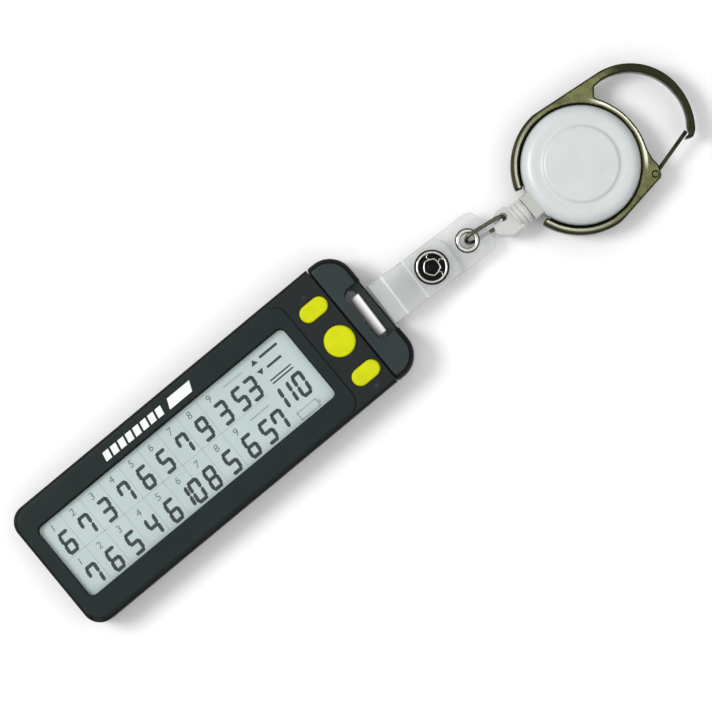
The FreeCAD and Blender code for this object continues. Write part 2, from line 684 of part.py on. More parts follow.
def cord_fitting():
    """The cord's end: a rolled flat lug with its hole off the axis, and a ribbed sleeve."""
    body = new_body("cord_fitting", "fitting_start", "axis_side", "axis_height",
                    turn=((1, 0, 0), -value("link_lean")))
    sketch = new_sketch(body, level="-lug_thick/2")
    draw_polygon(sketch, [("1", "-4.1"), ("-3.0", "-4.1"), ("-6.4", "-0.6"), ("-5.6", "1.6"),
                          ("-4.3", "4.0"), ("-2.2", "4.9"), ("0", "4.6"), ("1", "3.2")])
    raise_sketch(body, sketch, "lug_thick", False)
    round_edges(body, "1.0", lambda e: is_upright(e) and e.CenterOfMass.x < 0.5)
    disc(body, "-lug_hole_back", "lug_hole_side", "lug_hole", "-lug_thick", "lug_thick", cut=True)
    sleeve = new_sketch(body, role="XZ_Plane")
    draw_polygon(sleeve, [("0", "0"), ("sleeve_length", "0"), ("sleeve_length", "groove_radius"),
                          ("3.5", "groove_radius"), ("3.4", "sleeve_radius"), ("2.5", "sleeve_radius"),
                          ("2.4", "groove_radius"), ("2.1", "groove_radius"), ("2.0", "sleeve_radius"),
                          ("1.1", "sleeve_radius"), ("1.0", "groove_radius"), ("0.7", "groove_radius"),
                          ("0.6", "sleeve_radius"), ("0", "sleeve_radius-0.3")])
    turned = body.newObject("PartDesign::Revolution", "Sleeve")
    turned.Profile = sleeve
    turned.ReferenceAxis = (sleeve, ["H_Axis"])
    turned.Angle = 360
    doc.recompute()
    bore = new_sketch(body, role="YZ_Plane", level="2")
    draw_circle(bore, "0", "0", "cord_radius")
    raise_sketch(body, bore, "5", True)
    return body


def along_axis(label, start, end, radius):
    """A round piece on the cord's axis between two distances along X."""
    body = new_body(label, start, "axis_side", "axis_height", turn=((0, 1, 0), 90))
    disc(body, "0", "0", radius, "0", f"({end})-({start})")
    return body


def cord_lead():
    """The end of the retracted cord, from the fitting through the nozzle."""
    return along_axis("cord_lead", "fitting_start+2", "reel_place-spool_radius-0.2", "cord_radius")


# ---------------------------------------------------------------- reel

REEL = ("reel_place", "reel_side", "axis_height")


def reel_cover(label, turn):
    """One half of the reel's case; both halves have the same mould."""
    body = new_body(label, *REEL, turn=turn)
    seam = "reel_inner+0.8"
    turn_profile(body, [("0", "reel_cavity"), ("reel_inner", "reel_cavity"), ("reel_inner", "0"), (seam, "0"),
                        (seam, "0.55"), ("reel_radius", "0.55"), ("reel_radius", "reel_half"),
                        ("boss_radius", "reel_half"), ("boss_radius-0.4", "boss_top"), ("0", "boss_top")])
    rim = value("reel_radius")
    round_edges(body, "reel_round", lambda e: at_level(e, value("reel_half")) and e.BoundBox.XMax > rim - 0.1)
    round_edges(body, "0.25", lambda e: at_level(e, value("boss_top")))
    block(body, "-reel_radius-1", "-reel_inner+1", "-nozzle_half-0.05", "nozzle_half+0.05",
          "-1", "nozzle_deep+0.05", cut=True)
    disc(body, "0", "0", "post_radius", "reel_cavity-1", "reel_cavity+0.7", cut=True)
    return body


def cord_bushing():
    """The nozzle that guides the cord, held between the two covers."""
    body = new_body("cord_bushing", *REEL)
    inner = "-sqrt(reel_inner^2-(nozzle_half+0.9)^2)"
    block(body, "nozzle_start", inner, "-nozzle_half", "nozzle_half", "-nozzle_deep", "nozzle_deep")
    round_edges(body, "0.8", lambda e: isinstance(e.Curve, Part.Line)
                and abs(e.tangentAt(e.FirstParameter).x) > 0.99)
    block(body, inner, f"({inner})+0.5", "-nozzle_half-0.9", "nozzle_half+0.9", "-nozzle_deep", "nozzle_deep")
    bore = new_sketch(body, role="YZ_Plane", level="nozzle_start-1")
    draw_circle(bore, "axis_side-reel_side", "0", "cord_radius+0.3")
    raise_sketch(body, bore, "10", True)
    return body


def spool():
    """The drum: two flanges, a hub with room for the spring, and a floor on the post."""
    body = new_body("spool", *REEL)
    turn_profile(body, [(f"post_radius+{RUNNING}", "-2.4"), ("spool_radius", "-2.4"),
                        ("spool_radius", "-1.8"), ("hub_radius", "-1.8"), ("hub_radius", "1.8"),
                        ("spool_radius", "1.8"), ("spool_radius", "2.4"), ("spring_room", "2.4"),
                        ("spring_room", "-1.8"), (f"post_radius+{RUNNING}", "-1.8")])
    return body


def cord_winding():
    """The wound cord as one ring of its outer shape."""
    body = new_body("cord_winding", *REEL)
    turn_profile(body, [("hub_radius", "-1.7"), ("winding_radius", "-1.7"), ("winding_radius", "1.7"),
                        ("hub_radius", "1.7")])
    return body


def power_spring():
    """A flat spiral spring between the post and the hub."""
    turns, strip_width, points = 6, 0.25, 24
    inner, outer = value("post_radius") + 0.3, value("spring_room") - 0.4
    edges = []
    for offset in (0.0, strip_width):
        curve = []
        for step in range(turns * points + 1):
            angle = 2 * math.pi * step / points
            radius = inner + (outer - strip_width - inner) * step / (turns * points) + offset
            curve.append(Vector(radius * math.cos(angle), radius * math.sin(angle), 0))
        spiral = Part.BSplineCurve()
        spiral.interpolate(curve)
        edges.append((spiral.toShape(), curve[0], curve[-1]))
    caps = [Part.makeLine(edges[0][end], edges[1][end]) for end in (1, 2)]
    face = Part.Face(Part.Wire([edges[0][0], caps[1], edges[1][0], caps[0]]))
    solid = face.extrude(Vector(0, 0, 3.4))
    place = Vector(value(REEL[0]), value(REEL[1]), value(REEL[2]) - 1.4)
    return shape_piece("power_spring", solid, FreeCAD.Placement(place, FreeCAD.Rotation()))


def reel_post():
    """The axle that the drum turns on, held in both covers."""
    body = new_body("reel_post", *REEL)
    disc(body, "0", "0", "post_radius", "-reel_cavity-0.7", "reel_cavity+0.7")
    return body


# ---------------------------------------------------------------- carabiner

def on_circle(radius, degrees):
    """A point on a circle about the reel's centre."""
    return (radius * math.cos(math.radians(degrees)), radius * math.sin(math.radians(degrees)))


def frame_outline():
    """One closed outline: arms round the reel, the big loop with its nose, the hinge lobe."""
    inner, outer = value("ring_inner"), value("ring_outer")
    across, down = value("hinge_across"), value("hinge_down")
    return [
        (on_circle(outer, 162),),
        (on_circle(outer, 128), on_circle(outer, 93.5)),
        ((18.3, 16.2),),
        ((28.6, 11.6), (33.6, -0.7)),
        ((32.6, -6.6), (29.6, -12.2)),
        ((28.0, -13.3),),
        ((25.85, -12.4),),
        ((26.1, -11.95),),
        ((27.9, -11.9),),
        ((28.2, -10.4),),
        ((30.9, -5.6), (31.5, -0.7)),
        ((27.2, 9.7), (18.7, 13.9)),
        ((16.4, 13.9),),
        (on_circle(outer, 38.5),),
        (on_circle(outer - 0.3, 6), on_circle(outer - 0.1, -26)),
        ((across + 2.0, down + 3.4),),
        ((across + 1.3, down - 0.6), (across - 0.1, down - 1.7)),
        (on_circle(outer + 0.1, -93),),
        (on_circle(outer, -128), on_circle(outer, -162.5)),
        (on_circle(inner, -162),),
        (on_circle(inner, 0), on_circle(inner, 162)),
    ]


def carabiner_frame():
    """The cast frame, with a thin lip for the reel's covers and a slot the gate swings in."""
    deep = value("frame_half")
    solid = outline_face(frame_outline()).extrude(Vector(0, 0, 2 * deep))
    solid.translate(Vector(0, 0, -deep))
    lip = Part.makeCylinder(value("ring_inner") + 0.3, 0.9, Vector(0, 0, -0.45))
    lip = lip.cut(Part.makeCylinder(value("reel_inner") + 0.9, 2, Vector(0, 0, -1)))
    lip = lip.cut(Part.makeBox(30, 11.4, 4, Vector(-36, -5.7, -2)))
    solid = solid.fuse(lip)
    hinge = Vector(value("hinge_across"), value("hinge_down"), 0)
    half = value("fork_half")
    fork = Part.makeCylinder(value("fork_radius"), 2 * half, hinge - Vector(0, 0, half))
    swing = Part.makeCylinder(value("fork_radius") + 2, 2 * half, hinge - Vector(0, 0, half),
                              Vector(0, 0, 1), GATE_TRAVEL + 2 * FORK_SPARE)
    swing.rotate(hinge, Vector(0, 0, 1), value("gate_angle") - FORK_SPARE)
    pin = Part.makeCylinder(value("pin_radius"), 4 * deep, hinge - Vector(0, 0, 2 * deep))
    solid = solid.cut(fork).cut(swing).cut(pin)
    place = Vector(*[value(word) for word in REEL])
    return shape_piece("carabiner_frame", solid, FreeCAD.Placement(place, FreeCAD.Rotation()))


def at_hinge(label):
    """A body at the gate's hinge, turned so that +X runs along the closed gate."""
    return new_body(label, "reel_place+hinge_across", "reel_side+hinge_down", "axis_height",
                    turn=((0, 0, 1), value("gate_angle")))


def gate():
    body = at_hinge("gate")
    disc(body, "0", "0", "1.5", "-1", "0.3")
    obround(body, "gate_length/2", "0", "gate_length/2+gate_radius", "gate_radius", "-1", "1")
    disc(body, "0", "0", "1.5", "0.3", "2", cut=True)
    disc(body, "0", "0", f"pin_radius+{RUNNING}", "-2", "2", cut=True)
    return body


def gate_spring():
    """The small torsion spring above the gate's eye."""
    body = at_hinge("gate_spring")
    disc(body, "0", "0", "1.3", "0.4", "1.0")
    disc(body, "0", "0", f"pin_radius+{RUNNING}", "-2", "2", cut=True)
    return body


def gate_pin():
    body = at_hinge("gate_pin")
    disc(body, "0", "0", "pin_radius", "-frame_half", "frame_half")
    return body


# ---------------------------------------------------------------- build and write

FLIPPED = ((1, 0, 0), 180)

pieces = [rear_case(), front_case(), display_bezel(), end_cap(), battery_door(), case_screws(),
          lens_window(), lcd_panel(), lcd_frame(), zebra_strips(), main_board(), controller_chip(),
          timing_crystal(), board_capacitors(), coin_cell(), battery_contact_negative(),
          battery_contact_positive()]
for name in ("key_up", "key_select", "key_down"):
    pieces += [key_cap(name), snap_dome(name)]
pieces += [strap_tail(), strap_flap(), eyelet(), eyelet_washer(), snap_cap(), snap_socket(), snap_stud(),
           snap_post(), link_ring(), cord_fitting(), cord_lead()]
pieces += [reel_cover("reel_front_cover", None), reel_cover("reel_rear_cover", FLIPPED), cord_bushing(), spool(),
           cord_winding(), power_spring(), reel_post(), carabiner_frame(), gate(), gate_spring(), gate_pin()]
doc.recompute()

failed = [item.Name for item in doc.Objects if {"Invalid", "Error"} & set(item.State)]
if failed:
    raise RuntimeError(f"objects failed: {failed}")
for piece in pieces:
    if piece.Shape.isNull() or not piece.Shape.isValid() or not piece.Shape.Solids:
        raise RuntimeError(f"{piece.Label}: its shape is not a valid solid")

os.makedirs("parts", exist_ok=True)
for piece in pieces:
    piece.Shape.exportStep(f"parts/{piece.Label}.step")
    print(f"{piece.Label}: {piece.Shape.Volume:.2f} mm3, {len(piece.Shape.Solids)} solid(s)")
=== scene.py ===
import json
import math

import bmesh
import bpy
from mathutils import Matrix, Vector


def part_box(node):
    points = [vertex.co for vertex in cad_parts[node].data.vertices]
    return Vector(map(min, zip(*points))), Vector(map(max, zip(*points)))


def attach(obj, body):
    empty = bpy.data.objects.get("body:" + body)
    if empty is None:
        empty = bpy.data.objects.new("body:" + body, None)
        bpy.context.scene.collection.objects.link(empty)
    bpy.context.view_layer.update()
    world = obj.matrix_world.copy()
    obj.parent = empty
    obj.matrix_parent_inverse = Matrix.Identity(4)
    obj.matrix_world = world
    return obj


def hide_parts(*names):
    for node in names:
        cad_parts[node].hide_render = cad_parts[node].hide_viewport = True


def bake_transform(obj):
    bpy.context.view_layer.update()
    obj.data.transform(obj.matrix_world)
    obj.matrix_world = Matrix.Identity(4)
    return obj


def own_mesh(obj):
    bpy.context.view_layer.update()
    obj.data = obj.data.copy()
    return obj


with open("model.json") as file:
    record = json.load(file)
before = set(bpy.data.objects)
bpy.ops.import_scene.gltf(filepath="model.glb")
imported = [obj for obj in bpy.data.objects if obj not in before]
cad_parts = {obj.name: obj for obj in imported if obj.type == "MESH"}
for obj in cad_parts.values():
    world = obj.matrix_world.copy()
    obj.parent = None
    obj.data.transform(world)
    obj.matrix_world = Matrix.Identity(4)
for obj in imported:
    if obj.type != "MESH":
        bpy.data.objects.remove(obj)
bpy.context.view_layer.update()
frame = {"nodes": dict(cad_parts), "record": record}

# Looks of a pocket score counter on a clear strap and a retractable reel. Metres, in the
# frame of the CAD model: +X from the counter to the reel, +Y across it, +Z out of the display.

MM = 0.001
NODES = frame["nodes"]
BODY_OF = {node: body for body, nodes in frame["record"]["behaviour"]["bodies"].items() for node in nodes}
SLOT_OF = {part["node"]: part["material_slot"] for part in frame["record"]["subparts"]}
JOINTS = {joint["name"]: joint for joint in frame["record"]["behaviour"]["joints"]}


def hinge_of(joint):
    """A joint's place and axis."""
    return Vector(JOINTS[joint]["pos_m"]), Vector(JOINTS[joint]["axis"]).normalized()


def middle_of(node):
    """The middle of a CAD node's box."""
    low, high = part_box(node)
    return (Vector(low) + Vector(high)) / 2


# ---------------------------------------------------------------- shader helpers

class Shader:
    """A Principled material and short ways to add procedural detail to it."""

    def __init__(self, name, color, roughness=0.5, metallic=0.0, **sockets):
        self.material = bpy.data.materials.new(name)
        self.material.use_nodes = True
        self.nodes = self.material.node_tree.nodes
        self.links = self.material.node_tree.links
        self.principled = self.nodes["Principled BSDF"]
        self.color = (*color, 1.0)
        self.principled.inputs["Base Color"].default_value = self.color
        self.principled.inputs["Roughness"].default_value = roughness
        self.principled.inputs["Metallic"].default_value = metallic
        for socket, value in sockets.items():
            title = socket.replace("_", " ").title().replace("Ior", "IOR")
            self.principled.inputs[title].default_value = value
        self.height = None

    def add(self, kind, **settings):
        """A new node with its properties and inputs set."""
        node = self.nodes.new(kind)
        for key, value in settings.items():
            if hasattr(node, key):
                setattr(node, key, value)
            else:
                node.inputs[key.replace("_", " ").title()].default_value = value
        return node

    def place(self, stretch=(1, 1, 1), turn=0.0):
        """Object coordinates, in metres, stretched and turned about Z."""
        coordinate = self.add("ShaderNodeTexCoord")
        mapping = self.add("ShaderNodeMapping")
        mapping.inputs["Scale"].default_value = stretch
        mapping.inputs["Rotation"].default_value = (0, 0, turn)
        self.links.new(coordinate.outputs["Object"], mapping.inputs["Vector"])
        return mapping.outputs["Vector"]

    def noise(self, size, detail=3.0, stretch=(1, 1, 1), turn=0.0, roughness=0.55):
        """Noise whose features are about size metres across."""
        node = self.add("ShaderNodeTexNoise", scale=1.0 / size, detail=detail, roughness=roughness)
        self.links.new(self.place(stretch, turn), node.inputs["Vector"])
        return node.outputs["Fac"]

    def span(self, value, low, high, start=0.3, end=0.7):
        """Map a 0 to 1 value to a range."""
        node = self.add("ShaderNodeMapRange")
        for socket, number in (("From Min", start), ("From Max", end), ("To Min", low), ("To Max", high)):
            node.inputs[socket].default_value = number
        self.links.new(value, node.inputs["Value"])
        return node.outputs["Result"]

    def mottle(self, value, dark, light):
        """Colour that varies between two multiples of the base colour."""
        ramp = self.add("ShaderNodeValToRGB")
        for element, factor, position in zip(ramp.color_ramp.elements, (dark, light), (0.3, 0.7)):
            element.position = position
            element.color = (*(min(1.0, channel * factor) for channel in self.color[:3]), 1.0)
        self.links.new(value, ramp.inputs["Fac"])
        self.links.new(ramp.outputs["Color"], self.principled.inputs["Base Color"])
        return ramp

    def tint(self, value, first, second, start, end):
        """Colour that varies between two given colours."""
        ramp = self.add("ShaderNodeValToRGB")
        for element, color, position in zip(ramp.color_ramp.elements, (first, second), (start, end)):
            element.position = position
            element.color = (*color, 1.0)
        self.links.new(value, ramp.inputs["Fac"])
        self.links.new(ramp.outputs["Color"], self.principled.inputs["Base Color"])
        return ramp

    def flat_distance(self, centre):
        """How far a point is from a centre seen along Z, and how far along X, in metres."""
        coordinate = self.add("ShaderNodeTexCoord")
        offset = self.add("ShaderNodeVectorMath", operation="SUBTRACT")
        offset.inputs[1].default_value = centre
        flat = self.add("ShaderNodeVectorMath", operation="MULTIPLY")
        flat.inputs[1].default_value = (1, 1, 0)
        reach = self.add("ShaderNodeVectorMath", operation="LENGTH")
        axes = self.add("ShaderNodeSeparateXYZ")
        self.links.new(coordinate.outputs["Object"], offset.inputs[0])
        self.links.new(offset.outputs["Vector"], flat.inputs[0])
        self.links.new(flat.outputs["Vector"], reach.inputs[0])
        self.links.new(flat.outputs["Vector"], axes.inputs["Vector"])
        return reach.outputs["Value"], axes.outputs["X"]

    def product(self, one, two):
        return self.combined("MULTIPLY", one, two)

    def total(self, one, two):
        return self.combined("ADD", one, two)

    def combined(self, operation, one, two):
        """The result of a sum or product of two outputs."""
        node = self.add("ShaderNodeMath", operation=operation)
        self.links.new(one, node.inputs[0])
        self.links.new(two, node.inputs[1])
        return node.outputs["Value"]

    def mixed(self, amount, first, second):
        """A colour output mixed towards a given colour."""
        node = self.add("ShaderNodeMix", data_type="RGBA")
        self.links.new(amount, node.inputs["Factor"])
        self.links.new(first, node.inputs[6])
        node.inputs[7].default_value = (*second, 1.0)
        return node.outputs[2]

    def rough(self, value, low, high):
        self.links.new(self.span(value, low, high), self.principled.inputs["Roughness"])

    def bump(self, value, depth):
        """Relief of a depth in metres; a second call adds to the first."""
        node = self.add("ShaderNodeBump", distance=depth, strength=1.0)
        self.links.new(value, node.inputs["Height"])
        if self.height:
            self.links.new(self.height, node.inputs["Normal"])
        self.height = node.outputs["Normal"]
        self.links.new(self.height, self.principled.inputs["Normal"])


# ---------------------------------------------------------------- materials

def moulded_plastic(name, color, roughness, depth=0.012 * MM, gloss=0.5):
    """Moulded plastic: spark-eroded grain, slight gloss changes and faint cloudiness."""
    shader = Shader(name, color, roughness, specular_ior_level=gloss)
    fine = shader.noise(0.35 * MM, detail=2.0)
    cloud = shader.noise(9 * MM, detail=4.0)
    shader.mottle(cloud, 0.92, 1.08)
    shader.rough(cloud, roughness - 0.05, roughness + 0.05)
    shader.bump(fine, depth)
    return shader.material


def silicone_key(name, color):
    """Soft silicone with a satin skin and a little depth."""
    shader = Shader(name, color, 0.42, subsurface_weight=0.12, specular_ior_level=0.15)
    shader.principled.inputs["Subsurface Radius"].default_value = (1.0, 0.8, 0.1)
    shader.principled.inputs["Subsurface Scale"].default_value = 0.5 * MM
    cloud = shader.noise(3 * MM)
    shader.mottle(cloud, 0.93, 1.05)
    shader.rough(cloud, 0.36, 0.5)
    shader.bump(shader.noise(0.25 * MM), 0.008 * MM)
    return shader.material


def white_gloss(name, color, roughness):
    """White injection-moulded gloss with soft waviness."""
    shader = Shader(name, color, roughness, coat_weight=0.25, coat_roughness=0.2)
    shader.principled.inputs["Subsurface Weight"].default_value = 0.06
    shader.principled.inputs["Subsurface Scale"].default_value = 0.6 * MM
    wave = shader.noise(6 * MM, detail=2.0)
    shader.mottle(wave, 0.97, 1.02)
    shader.rough(wave, roughness - 0.06, roughness + 0.08)
    shader.bump(shader.noise(2.5 * MM, detail=1.0), 0.01 * MM)
    shader.bump(shader.noise(0.2 * MM), 0.002 * MM)
    return shader.material


def clear_plastic(name, color, alpha, roughness):
    """Clear sheet shown by alpha, cloudy in faint patches and more solid at grazing angles."""
    shader = Shader(name, color, roughness)
    cloud = shader.noise(7 * MM, detail=3.0)
    shader.mottle(cloud, 0.94, 1.05)
    shader.rough(shader.noise(1.5 * MM), roughness - 0.06, roughness + 0.1)
    shader.bump(shader.noise(3 * MM, detail=2.0), 0.03 * MM)
    facing = shader.add("ShaderNodeLayerWeight", blend=0.35)
    edge = shader.span(facing.outputs["Facing"], alpha, min(1.0, alpha + 0.45), 0.0, 0.9)
    shader.links.new(edge, shader.principled.inputs["Alpha"])
    return shader.material


def polished_metal(name, color, roughness):
    """Plated metal with fine handling marks."""
    shader = Shader(name, color, roughness, metallic=1.0)
    cloud = shader.noise(1.6 * MM, detail=4.0)
    shader.mottle(cloud, 0.88, 1.06)
    shader.rough(cloud, roughness - 0.05, roughness + 0.14)
    shader.bump(shader.noise(0.12 * MM, stretch=(1, 6, 1), turn=0.5), 0.004 * MM)
    return shader.material


def brushed_metal(name, color, roughness=0.32):
    """Drawn or stamped steel with streaks along X."""
    shader = Shader(name, color, roughness, metallic=1.0)
    streak = shader.noise(0.25 * MM, stretch=(0.06, 1, 1))
    shader.mottle(streak, 0.85, 1.08)
    shader.rough(streak, roughness - 0.08, roughness + 0.12)
    shader.bump(streak, 0.004 * MM)
    return shader.material


def aged_brass(name, bright, patina, roughness):
    """Antique brass: an olive patina rubbed through to brighter metal."""
    shader = Shader(name, bright, roughness, metallic=1.0)
    wear = shader.noise(2.2 * MM, detail=6.0, roughness=0.62)
    shader.tint(wear, patina, bright, 0.36, 0.6)
    shader.rough(wear, roughness + 0.12, roughness - 0.04)
    shader.bump(shader.noise(0.5 * MM, detail=4.0), 0.012 * MM)
    return shader.material


# zones of the carabiner frame, in mm, outwards from the reel's middle and along X from it: a painted
# highlight line on the arms' crest and the bridge, and painted shade on the arms' outer edge and on the loop
HIGHLIGHT_BEGINS, HIGHLIGHT_ENDS = (16.8 * MM, 17.1 * MM), (17.6 * MM, 17.9 * MM)
HIGHLIGHT_FADES, BRIDGE_BEGINS = (-14.0 * MM, 2.0 * MM), (12.5 * MM, 14.5 * MM)
RIM_SHADE_BEGINS, RIM_SHADE_FADES = (17.3 * MM, 17.8 * MM), (1.0 * MM, 8.0 * MM)
LOOP_SHADE_BEGINS = (19.0 * MM, 24.0 * MM)
# the painted highlight colour and the painted shade colour of the frame
HIGHLIGHT_BRASS, PAINTED_SHADE_BRASS = (0.95, 0.94, 0.78), (0.026, 0.026, 0.015)


def frame_brass(name):
    """Olive brass with a painted highlight line round the reel; painted shade darkens the arms' outer edge
    and the loop.
    """
    shader = Shader(name, (0.20, 0.205, 0.09), 0.3, metallic=1.0)
    wear = shader.noise(2.2 * MM, detail=6.0, roughness=0.62)
    olive = shader.tint(wear, (0.11, 0.115, 0.05), (0.21, 0.215, 0.095), 0.36, 0.6)
    distance, along = shader.flat_distance(middle_of("reel_front_cover"))
    # painted highlight: a bright line round the reel, shown on the crest of the arms and of the bridge
    line = shader.product(shader.span(distance, 0.0, 1.0, *HIGHLIGHT_BEGINS),
                          shader.span(distance, 1.0, 0.0, *HIGHLIGHT_ENDS))
    shown = shader.total(shader.span(along, 0.55, 0.0, *HIGHLIGHT_FADES),
                         shader.span(along, 0.0, 1.0, *BRIDGE_BEGINS))
    color = shader.mixed(shader.product(line, shown), olive.outputs["Color"], HIGHLIGHT_BRASS)
    # painted shade: the arms' outer edge, and below it the whole loop, are darkened
    rim = shader.product(shader.span(distance, 0.0, 0.85, *RIM_SHADE_BEGINS),
                         shader.span(along, 1.0, 0.0, *RIM_SHADE_FADES))
    color = shader.mixed(rim, color, PAINTED_SHADE_BRASS)
    color = shader.mixed(shader.span(along, 0.0, 0.95, *LOOP_SHADE_BEGINS), color, PAINTED_SHADE_BRASS)
    shader.links.new(color, shader.principled.inputs["Base Color"])
    shader.rough(wear, 0.38, 0.24)
    shader.bump(shader.noise(0.5 * MM, detail=4.0), 0.01 * MM)
    return shader.material


def woven_cord(name, color):
    """Thin braided nylon."""
    shader = Shader(name, color, 0.6, sheen_weight=0.3)
    wave = shader.add("ShaderNodeTexWave", scale=1400.0, distortion=1.0)
    shader.links.new(shader.place((1, 1, 1), 0.7), wave.inputs["Vector"])
    shader.mottle(wave.outputs["Fac"], 0.75, 1.1)
    shader.bump(wave.outputs["Fac"], 0.05 * MM)
    return shader.material


def display_glass(name, color):
    """The reflective display's grey-green ground: fine pearl and a slow gradient."""
    shader = Shader(name, color, 0.5)
    pearl = shader.noise(0.12 * MM, detail=2.0)
    slow = shader.noise(30 * MM, detail=1.0)
    shader.mottle(slow, 0.95, 1.04)
    shader.rough(pearl, 0.42, 0.58)
    shader.bump(pearl, 0.004 * MM)
    return shader.material


def display_ink(name, color):
    """A driven segment of the display, a little uneven."""
    shader = Shader(name, color, 0.55)
    shader.mottle(shader.noise(4 * MM), 0.8, 1.2)
    return shader.material


def circuit_board(name, color):
    """Green solder resist over faint copper tracks."""
    shader = Shader(name, color, 0.3)
    brick = shader.add("ShaderNodeTexBrick", scale=260.0)
    brick.inputs["Color1"].default_value = (*color, 1)
    brick.inputs["Color2"].default_value = (*(c * 1.5 for c in color), 1)
    brick.inputs["Mortar"].default_value = (*(c * 2.2 for c in color), 1)
    shader.links.new(shader.place(), brick.inputs["Vector"])
    shader.links.new(brick.outputs["Color"], shader.principled.inputs["Base Color"])
    shader.bump(shader.noise(0.5 * MM), 0.01 * MM)
    return shader.material


MATERIALS = {
    "case_black": moulded_plastic("case_black", (0.008, 0.012, 0.012), 0.46, depth=0.015 * MM, gloss=0.18),
    "bezel_grey": moulded_plastic("bezel_grey", (0.008, 0.016, 0.0155), 0.40, depth=0.012 * MM, gloss=0.16),
    "screw_steel": brushed_metal("screw_steel", (0.42, 0.42, 0.43)),
    "lens_clear": clear_plastic("lens_clear", (0.30, 0.33, 0.33), 0.03, 0.12),
    "lcd_glass": display_glass("lcd_glass", (0.53, 0.625, 0.61)),
    "frame_white": moulded_plastic("frame_white", (0.72, 0.72, 0.70), 0.5),
    "zebra_rubber": moulded_plastic("zebra_rubber", (0.20, 0.05, 0.06), 0.7),
    "board_green": circuit_board("board_green", (0.015, 0.11, 0.05)),
    "chip_epoxy": moulded_plastic("chip_epoxy", (0.01, 0.01, 0.01), 0.25),
    "plated_steel": brushed_metal("plated_steel", (0.60, 0.60, 0.57), 0.26),
    "capacitor_tan": moulded_plastic("capacitor_tan", (0.32, 0.20, 0.10), 0.45),
    "cell_steel": brushed_metal("cell_steel", (0.62, 0.62, 0.63), 0.24),
    "key_yellow": silicone_key("key_yellow", (0.55, 0.59, 0.0)),
    "strap_vinyl": clear_plastic("strap_vinyl", (0.62, 0.64, 0.64), 0.3, 0.22),
    "nickel": polished_metal("nickel", (0.66, 0.66, 0.61), 0.16),
    "link_wire": polished_metal("link_wire", (0.12, 0.12, 0.085), 0.22),
    "fitting_white": white_gloss("fitting_white", (0.52, 0.53, 0.51), 0.34),
    "cord_nylon": woven_cord("cord_nylon", (0.70, 0.70, 0.70)),
    "reel_white": white_gloss("reel_white", (0.55, 0.58, 0.58), 0.32),
    "spool_white": moulded_plastic("spool_white", (0.75, 0.75, 0.73), 0.45),
    "spring_steel": brushed_metal("spring_steel", (0.20, 0.20, 0.24), 0.3),
    "antique_brass": aged_brass("antique_brass", (0.20, 0.205, 0.09), (0.12, 0.125, 0.055), 0.30),
    "gate_wire": aged_brass("gate_wire", (0.06, 0.06, 0.035), (0.02, 0.02, 0.012), 0.3),
}
FRAME_BRASS = frame_brass("frame_brass")
CAP_GREY = moulded_plastic("cap_grey", (0.013, 0.024, 0.024), 0.36, gloss=0.3)
# painted shade: dark brass put on the steep faces of metal parts, which turn away from the light
PAINTED_SHADE_EDGE = aged_brass("painted_shade_edge", (0.030, 0.031, 0.014), (0.019, 0.020, 0.009), 0.34)
# painted shade: a darker copy of the case plastic for the sides of the case and the end cap
CASE_SIDE_SHADE = moulded_plastic("case_side_shade", (0.0035, 0.005, 0.005), 0.5, depth=0.015 * MM, gloss=0.12)
BUSHING_GREY = white_gloss("bushing_grey", (0.42, 0.43, 0.40), 0.34)
# painted shade in the snap's hollow, and the black border under the lens, which is partly a mask and partly
# painted shadow
BLACK_MASK_AND_SHADE = moulded_plastic("black_mask_and_shade", (0.003, 0.003, 0.003), 0.4, gloss=0.08)
DISPLAY_INK = display_ink("display_ink", (0.008, 0.020, 0.020))
DISPLAY_FAINT = display_ink("display_faint", (0.34, 0.41, 0.40))
INDEX_INK = display_ink("index_ink", (0.12, 0.17, 0.17))
# painted highlight along the strap's creases
STRAP_CREASE_HIGHLIGHT = clear_plastic("strap_crease_highlight", (0.85, 0.86, 0.86), 0.3, 0.3)
# painted light: the loop's bend in the slot is pale and nearly opaque, standing for light there
STRAP_BEND_LIGHT = clear_plastic("strap_bend_light", (0.93, 0.92, 0.94), 0.85, 0.35)
STRAP_CLEAREST = clear_plastic("strap_clearest", (0.08, 0.085, 0.085), 0.02, 0.2)
PRINT_DULL = moulded_plastic("print_dull", (0.022, 0.027, 0.045), 0.5, gloss=0.2)
PRINT_WHITE = moulded_plastic("print_white", (0.72, 0.74, 0.74), 0.5)


# ---------------------------------------------------------------- mesh helpers

COPLANAR = math.radians(0.4)  # faces within this angle are merged before an edge is rounded
ROUND_STEPS, CORNER_STEPS = 96, 6  # sides of a turned piece, and steps round a corner


def new_piece(name, mesh, body, slot, replaces=(), materials=None):
    """Link a mesh as a piece that rides a body and stands for CAD nodes."""
    piece = bpy.data.objects.new(name, mesh)
    bpy.context.scene.collection.objects.link(piece)
    for material in materials or [MATERIALS[slot]]:
        mesh.materials.append(material)
    if body:
        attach(piece, body)
    if replaces:
        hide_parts(*replaces)
    return piece


def mesh_of(work, name):
    """End a working mesh and return it under a name."""
    mesh = bpy.data.meshes.new(name)
    work.to_mesh(mesh)
    work.free()
    return mesh


def smooth(mesh, degrees=35):
    """Smooth shading that keeps edges sharper than an angle."""
    mesh.polygons.foreach_set("use_smooth", [True] * len(mesh.polygons))
    mesh.set_sharp_from_angle(angle=math.radians(degrees))


def applied(piece):
    """Turn a piece's modifiers into its mesh."""
    graph = bpy.context.evaluated_depsgraph_get()
    mesh = bpy.data.meshes.new_from_object(piece.evaluated_get(graph))
    piece.modifiers.clear()
    piece.data = mesh
    return piece


